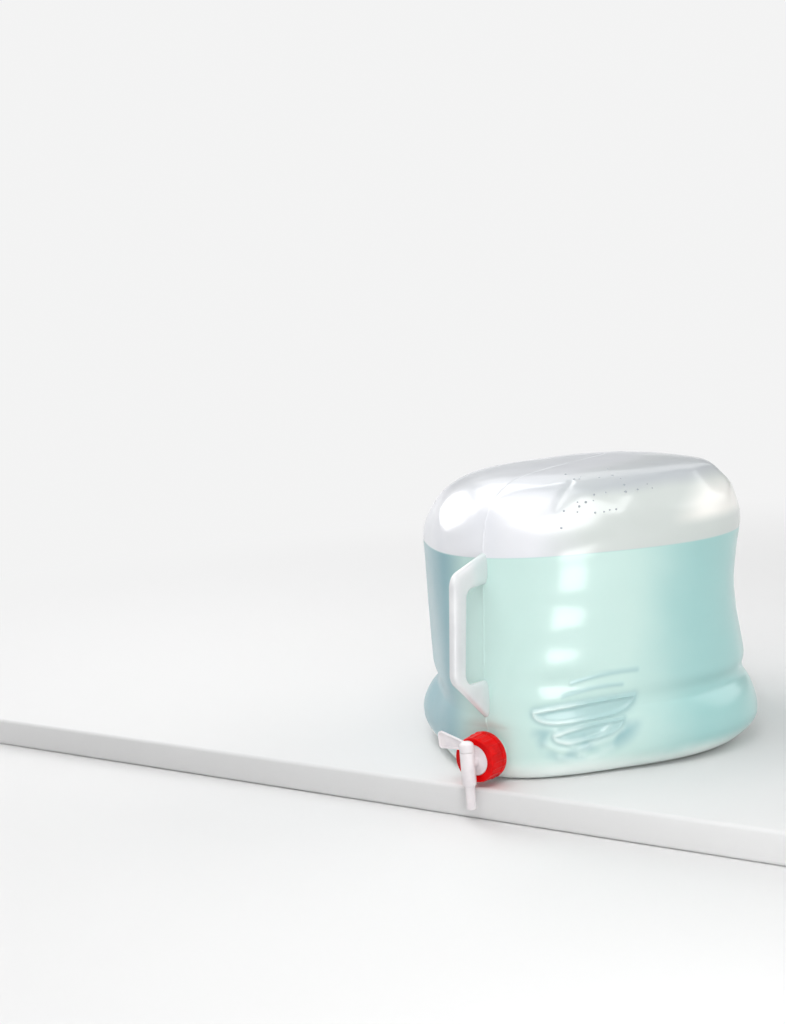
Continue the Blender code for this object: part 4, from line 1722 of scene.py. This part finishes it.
@dataclass
class Tap:
    """The white flange with its upright barrel, and the plug with lever and nozzle that turns in it."""

    flange_radius: float = 0.0174
    flange_thick: float = 0.0020
    spigot_radius: float = 0.0136
    spigot_long: float = 0.0040
    spigot_core: float = 0.0050
    boss_radius: float = 0.0141
    boss_end: float = 0.1975
    stub_radius: float = 0.0052
    barrel: float = 0.0066
    barrel_top: float = NECK.height + 0.0105
    barrel_low: float = NECK.height - 0.0200
    stem: float = 0.00465
    flow: float = 0.0031
    flow_start: float = 0.0060
    flow_top: float = NECK.height + 0.0042
    window_half: float = 0.0029
    window_end: float = 0.007
    tip: float = NECK.height - 0.0425
    head_top: float = NECK.height + 0.0205
    head_dome: float = 0.0036
    lever_length: float = 0.0305
    lever_root: Place = (NECK.height + 0.0122, NECK.height + 0.0195)
    lever_end: Place = (NECK.height + 0.0115, NECK.height + 0.0285)
    lever_thick: float = 0.0030
    lever_corner: float = 0.0034
    lever_rim: float = 0.0015
    lever_sunk: float = 0.0010
    lever_edge: float = 0.0005
    sides: int = 64
    flange_sides: int = 96
    flow_sides: int = 48

    def rod(self, name: str, profile: Sequence[Place]) -> bpy.types.Object:
        """A turned shape on the valve's upright axis."""
        rings = [NECK.upright(height, radius, self.sides) for height, radius in profile]
        return new_object(name, loft(name, rings))

    def spigot(self, paint: bpy.types.Material) -> bpy.types.Object:
        """Makes the flange, boss, stub and barrel.

        Args:
            paint: The tap's material.

        Returns:
            The finished piece.
        """
        flange = NECK.end + 2 * NECK.gap + NECK.gasket
        front = flange + self.flange_thick
        profile = turned([
            (flange - self.spigot_long, self.spigot_core, 0.0),
            (flange - self.spigot_long, self.spigot_radius, EDGE),
            (flange, self.spigot_radius, 0.0),
            (flange, self.flange_radius, 0.0003),
            (front, self.flange_radius, 0.0003),
            (front, self.boss_radius, 0.0),
            (self.boss_end, self.boss_radius, EDGE),
            (self.boss_end, self.stub_radius, 0.0016),
            (NECK.valve, self.stub_radius, 0.0),
        ])
        body = NECK.spun("white_tap_body", profile, self.flange_sides)
        outside = turned([
            (self.barrel_low, self.stem, 0.0), (self.barrel_low, self.barrel, EDGE),
            (self.barrel_top, self.barrel, 0.0003), (self.barrel_top, self.stem, 0.0),
        ])
        bore = self.stem + NECK.gap
        ends = (self.barrel_low - OVERLAP, self.barrel_top + OVERLAP)
        hole = self.rod("barrel_bore", [(height, bore) for height in ends])
        way_ends = [(reach, self.flow) for reach in (flange - self.flow_start, NECK.valve)]
        way = NECK.spun("flow_bore", way_ends, self.flow_sides)
        tools = [(Cut.ADD, self.rod("barrel", outside)), (Cut.TAKE, hole), (Cut.TAKE, way)]
        carve(body, tools)
        dress(body, paint)
        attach(body, "tap")
        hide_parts("spigot_body")
        return body

    def lever(self) -> bpy.types.Object:
        """A flat paddle that widens to its end, with a raised rim round both of its faces.

        Returns:
            The lever, as a tool shape.
        """
        (root_low, root_top), (end_low, end_top) = self.lever_root, self.lever_end
        outline = rounded(
            [(0.0, root_low), (-self.lever_length, end_low), (-self.lever_length, end_top), (0.0, root_top)],
            [self.lever_corner, self.lever_corner], steps=8,
        )
        centre = sum(outline, Vector((0, 0))) / len(outline)
        half, edge = self.lever_thick / 2, self.lever_edge
        slope, level = 0.0006, 0.0001

        def shrunk(amount: float, offset: float) -> list[Vector]:
            """The outline moved inward.

            Args:
                amount: How far.
                offset: The distance from the paddle's middle plane.

            Returns:
                The places.
            """
            count = len(outline)
            ring = []
            for i, point in enumerate(outline):
                before, after = outline[i - 1], outline[(i + 1) % count]
                ahead = (after - before).normalized()
                inward = Vector((-ahead.y, ahead.x))
                if inward.dot(centre - point) < 0:
                    inward = -inward
                x, height = point + inward * amount
                ring.append(Vector((min(x, 0.0), offset - NECK.valve, height)))
            return ring

        rim, sunk = self.lever_rim, self.lever_sunk
        steps = [
            (rim + slope, sunk - half), (rim, level - half), (edge, -half), (0.0, edge - half),
            (0.0, half - edge), (edge, half), (rim, half - level), (rim + slope, half - sunk),
        ]
        return new_object("lever", loft("lever", [shrunk(amount, offset) for amount, offset in steps]))

    def plug(self, paint: bpy.types.Material) -> bpy.types.Object:
        """Makes the plug: domed head with its lever, stem with a side window, and nozzle.

        Args:
            paint: The tap's material.

        Returns:
            The finished piece.
        """
        profile = turned([
            (self.tip, self.flow, 0.0), (self.tip, self.stem, 0.0005),
            (self.barrel_top + NECK.gap, self.stem, 0.0), (self.barrel_top + NECK.gap, self.barrel, 0.0003),
            (self.head_top - self.head_dome, self.barrel, 0.0),
        ])
        dome_steps = 10
        for i in range(1, dome_steps):
            lean = QUARTER * i / dome_steps
            height = self.head_top - self.head_dome * (1 - math.sin(lean))
            profile.append(Vector((height, self.barrel * math.cos(lean))))
        plug = self.rod("white_valve_plug", profile)
        ends = (self.tip - OVERLAP, self.flow_top)
        bore = self.rod("plug_bore", [(height, self.flow) for height in ends])
        half, end = self.window_half, self.window_end
        places = [(x, -NECK.valve + y) for x, y in ((0, -half), (end, -half), (end, half), (0, half))]
        rings = [[Vector((x, y, NECK.height + height)) for x, y in places] for height in (-half, half)]
        window = new_object("window", loft("window", rings))
        carve(plug, [(Cut.ADD, self.lever()), (Cut.TAKE, bore), (Cut.TAKE, window)])
        dress(plug, paint)
        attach(plug, "plug")
        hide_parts("valve_plug")
        return plug


@dataclass
class Studio:
    """The table edge that the container stands on, the floor, the lights and the backdrop's tone."""

    table_front: float = -0.197
    table_thick: float = 0.030
    table_size: float = 2.2
    table_edge: float = 0.004
    floor_radius: float = 6.0
    tone: float = 0.72
    fleck: Colour = (0.6, 0.6, 0.6)
    fleck_size: float = 0.004
    fleck_share: float = 0.06
    roughness: float = 0.75
    fade: Rise = (0.45, 1.6)
    backdrop: float = 0.90
    ambient: float = 0.28
    backdrop_top: float = math.sin(math.radians(1.5))
    backdrop_end: float = math.sin(math.radians(5))
    aim: Point = (0.0, 0.0, 0.14)

    def seen(self, graph: Graph, mirrored: Number) -> Value:
        """How far a ray shows the pale background.

        Args:
            graph: The tree of a stage material or of the world.
            mirrored: The share of it that gloss and glass show.

        Returns:
            1 for the camera's own rays, the share for glossy and transmitted ones, 0 for the light.
        """
        path = graph.node("ShaderNodeLightPath")
        camera, glossy, through = (
            Value(graph, path.outputs[f"Is {kind} Ray"]) for kind in ("Camera", "Glossy", "Transmission")
        )
        return call("MAXIMUM", camera, call("MAXIMUM", glossy, through) * mirrored)

    def pale(self, name: str) -> bpy.types.Material:
        """A pale surface that fades into the backdrop with distance from the container.

        Args:
            name: The material's name.

        Returns:
            The material.
        """
        made = bpy.data.materials.new(name)
        made.use_nodes = True
        graph = Graph(made.node_tree)
        shader = made.node_tree.nodes["Principled BSDF"]
        place = graph.value("ShaderNodeTexCoord", out="Object")
        grain = graph.noise(place, self.fleck_size, detail=3.0)
        base = graph.mix(grain * self.fleck_share, (self.tone, self.tone, self.tone), self.fleck)
        graph.feed(shader.inputs["Base Color"], base)
        shader.inputs["Roughness"].default_value = self.roughness
        away = graph.value("ShaderNodeVectorMath", {0: place}, out="Value", operation="LENGTH")
        share = graph.ramp(away, *self.fade) * self.seen(graph, 1.0)
        glow = graph.node("ShaderNodeEmission", {"Color": (1.0, 1.0, 1.0, 1.0), "Strength": self.backdrop})
        both = graph.node("ShaderNodeMixShader", {0: share, 1: shader.outputs[0], 2: glow.outputs[0]})
        output = made.node_tree.nodes["Material Output"]
        graph.tree.links.new(both.outputs[0], output.inputs["Surface"])
        return made

    def world(self) -> None:
        """An even surround: dim for light, pale for the camera and, near the level, for gloss."""
        world = bpy.data.worlds.new("studio")
        bpy.context.scene.world = world
        world.use_nodes = True
        graph = Graph(world.node_tree)
        background = world.node_tree.nodes["Background"]
        rise = graph.split(graph.value("ShaderNodeTexCoord", out="Generated"))[2]
        pale = self.seen(graph, graph.ramp(rise, self.backdrop_end, self.backdrop_top))
        graph.feed(background.inputs["Strength"], self.ambient + pale * (self.backdrop - self.ambient))
        background.inputs["Color"].default_value = (1.0, 1.0, 1.0, 1.0)

    def lamp(
        self, name: str, azimuth: float, rise: float, distance: float, size: Place, power: float
    ) -> None:
        """A rectangular softbox that faces the container.

        Args:
            name: Its name.
            azimuth: Its direction in degrees; 0 is +X and 90 is +Y.
            rise: How far it is above the level, in degrees.
            distance: How far away it is.
            size: Its width and height.
            power: Its power in watts.
        """
        data = bpy.data.lights.new(name, "AREA")
        data.shape = "RECTANGLE"
        data.size, data.size_y = size
        data.energy = power
        turn, lean = math.radians(azimuth), math.radians(rise)
        flat = distance * math.cos(lean)
        away = Vector((flat * math.cos(turn), flat * math.sin(turn), distance * math.sin(lean)))
        made = bpy.data.objects.new(name, data)
        made.location = Vector(self.aim) + away
        made.rotation_euler = (-away).to_track_quat("-Z", "Y").to_euler()
        bpy.context.scene.collection.objects.link(made)

    def table(self) -> bpy.types.Object:
        """The slab, whose front edge ends before the tap.

        Returns:
            The object.
        """
        front, back, low = self.table_front, self.table_size, -self.table_thick
        corners = [(back, 0.0), (front, 0.0), (front, low), (back, low)]
        outline = rounded(corners, [self.table_edge, self.table_edge])
        shape = bmesh.new()
        ends = [[shape.verts.new((x, y, z)) for y, z in outline] for x in (-back, back)]
        band(shape, *ends)
        for loop in ends:
            shape.faces.new(loop)
        return new_object("table", mesh_from("table", shape))

    def floor(self) -> bpy.types.Object:
        """The floor, level with the slab's underside.

        Returns:
            The object.
        """
        shape = bmesh.new()
        bmesh.ops.create_circle(shape, cap_ends=True, segments=96, radius=self.floor_radius)
        for vertex in shape.verts:
            vertex.co.z = -self.table_thick
        return new_object("floor", mesh_from("floor", shape))

    def build(self) -> None:
        """Sets up table, floor, world and lights."""
        for item, paint in ((self.table(), "table_top"), (self.floor(), "floor_paper")):
            item.data.materials.append(self.pale(paint))
            item.data.shade_smooth()
            item.data.set_sharp_from_angle(angle=SHARP_EDGE)
        self.world()
        self.lamp("left_low", 168, 20, 1.8, (0.8, 0.5), 4.0)
        self.lamp("left_high", 158, 46, 1.7, (1.2, 0.85), 9.0)
        self.lamp("overhead", -140, 68, 1.7, (1.1, 0.75), 9.5)
        self.lamp("front_left", -78, 46, 1.7, (1.0, 0.64), 6.4)
        self.lamp("front_patch", -52, 49, 1.8, (0.66, 0.46), 6.3)
        self.lamp("fill", -32, 20, 2.4, (3.0, 2.4), 7.5)
        self.lamp("window", -49, -1, 1.0, (0.24, 0.20), 1.5)
        self.lamp("back_right", 44, 30, 2.2, (2.0, 1.4), 17.0)
        self.lamp("back_top", 115, 30, 2.2, (1.6, 0.9), 3.0)


@dataclass(frozen=True)
class PhotoCamera:
    """The photograph's viewpoint, found from the body's outline and the tap."""

    azimuth: float = math.radians(32.756)
    elevation: float = math.radians(11.329)
    roll: float = math.radians(-4.01)
    distance: float = 1.701
    focal: float = 1712.575
    pivot: tuple[float, float, float] = (0.0, 0.0, 0.130)
    pivot_pixel: Place = (581.952, 603.754)
    frame_size: Place = (786.0, 1024.0)
    sensor: float = 36.0

    def build(self) -> None:
        """Creates the camera and makes it the scene's."""
        pivot = Vector(self.pivot)
        flat = math.cos(self.elevation)
        away = Vector((
            math.sin(self.azimuth) * flat, -math.cos(self.azimuth) * flat, math.sin(self.elevation)
        ))
        aim = (-away).to_track_quat("-Z", "Y") @ Quaternion((0.0, 0.0, 1.0), self.roll)
        width, height = self.frame_size
        u, v = self.pivot_pixel
        seen = Vector(((u - width / 2) / self.focal, (height / 2 - v) / self.focal, -1.0)).normalized()
        turn = aim @ seen.rotation_difference(Vector((0.0, 0.0, -1.0)))
        data = bpy.data.cameras.new("photo_camera")
        data.sensor_fit = "AUTO"
        data.sensor_width = self.sensor
        data.lens = self.focal / max(self.frame_size) * self.sensor
        camera = bpy.data.objects.new("photo_camera", data)
        camera.location = pivot + away * self.distance
        camera.rotation_mode = "QUATERNION"
        camera.rotation_quaternion = turn
        bpy.context.scene.collection.objects.link(camera)
        bpy.context.scene.camera = camera


def paint_node(node: str, paint: bpy.types.Material) -> None:
    """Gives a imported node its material.

    Args:
        node: The node's name.
        paint: The material.
    """
    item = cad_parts[node]
    item.data.materials.clear()
    item.data.materials.append(paint)


def main() -> None:
    """Builds every piece, the studio and the camera."""
    logging.basicConfig(level=logging.INFO, format="%(name)s: %(message)s")
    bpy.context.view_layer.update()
    bpy.context.scene.view_settings.view_transform = "Standard"
    PhotoCamera().build()
    effects = SharedEffects()
    grip_paint = GRIP_PLASTIC.make(effects)
    white = WHITE_PLASTIC.make(effects)
    body = Container().build(MilkyWall().make(effects))
    Condensation().build(body, DROP_PLASTIC.make(effects))
    Grip("front_grip", "front_handle", -1).build(grip_paint)
    Grip("rear_grip", "rear_handle", 1).build(grip_paint)
    ScrewRing().build(RED_PLASTIC.make(effects))
    tap = Tap()
    tap.spigot(white)
    tap.plug(white)
    paint_node("neck_gasket", RUBBER.make(effects))
    Studio().build()
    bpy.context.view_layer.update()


if __name__ == "__main__":
    main()
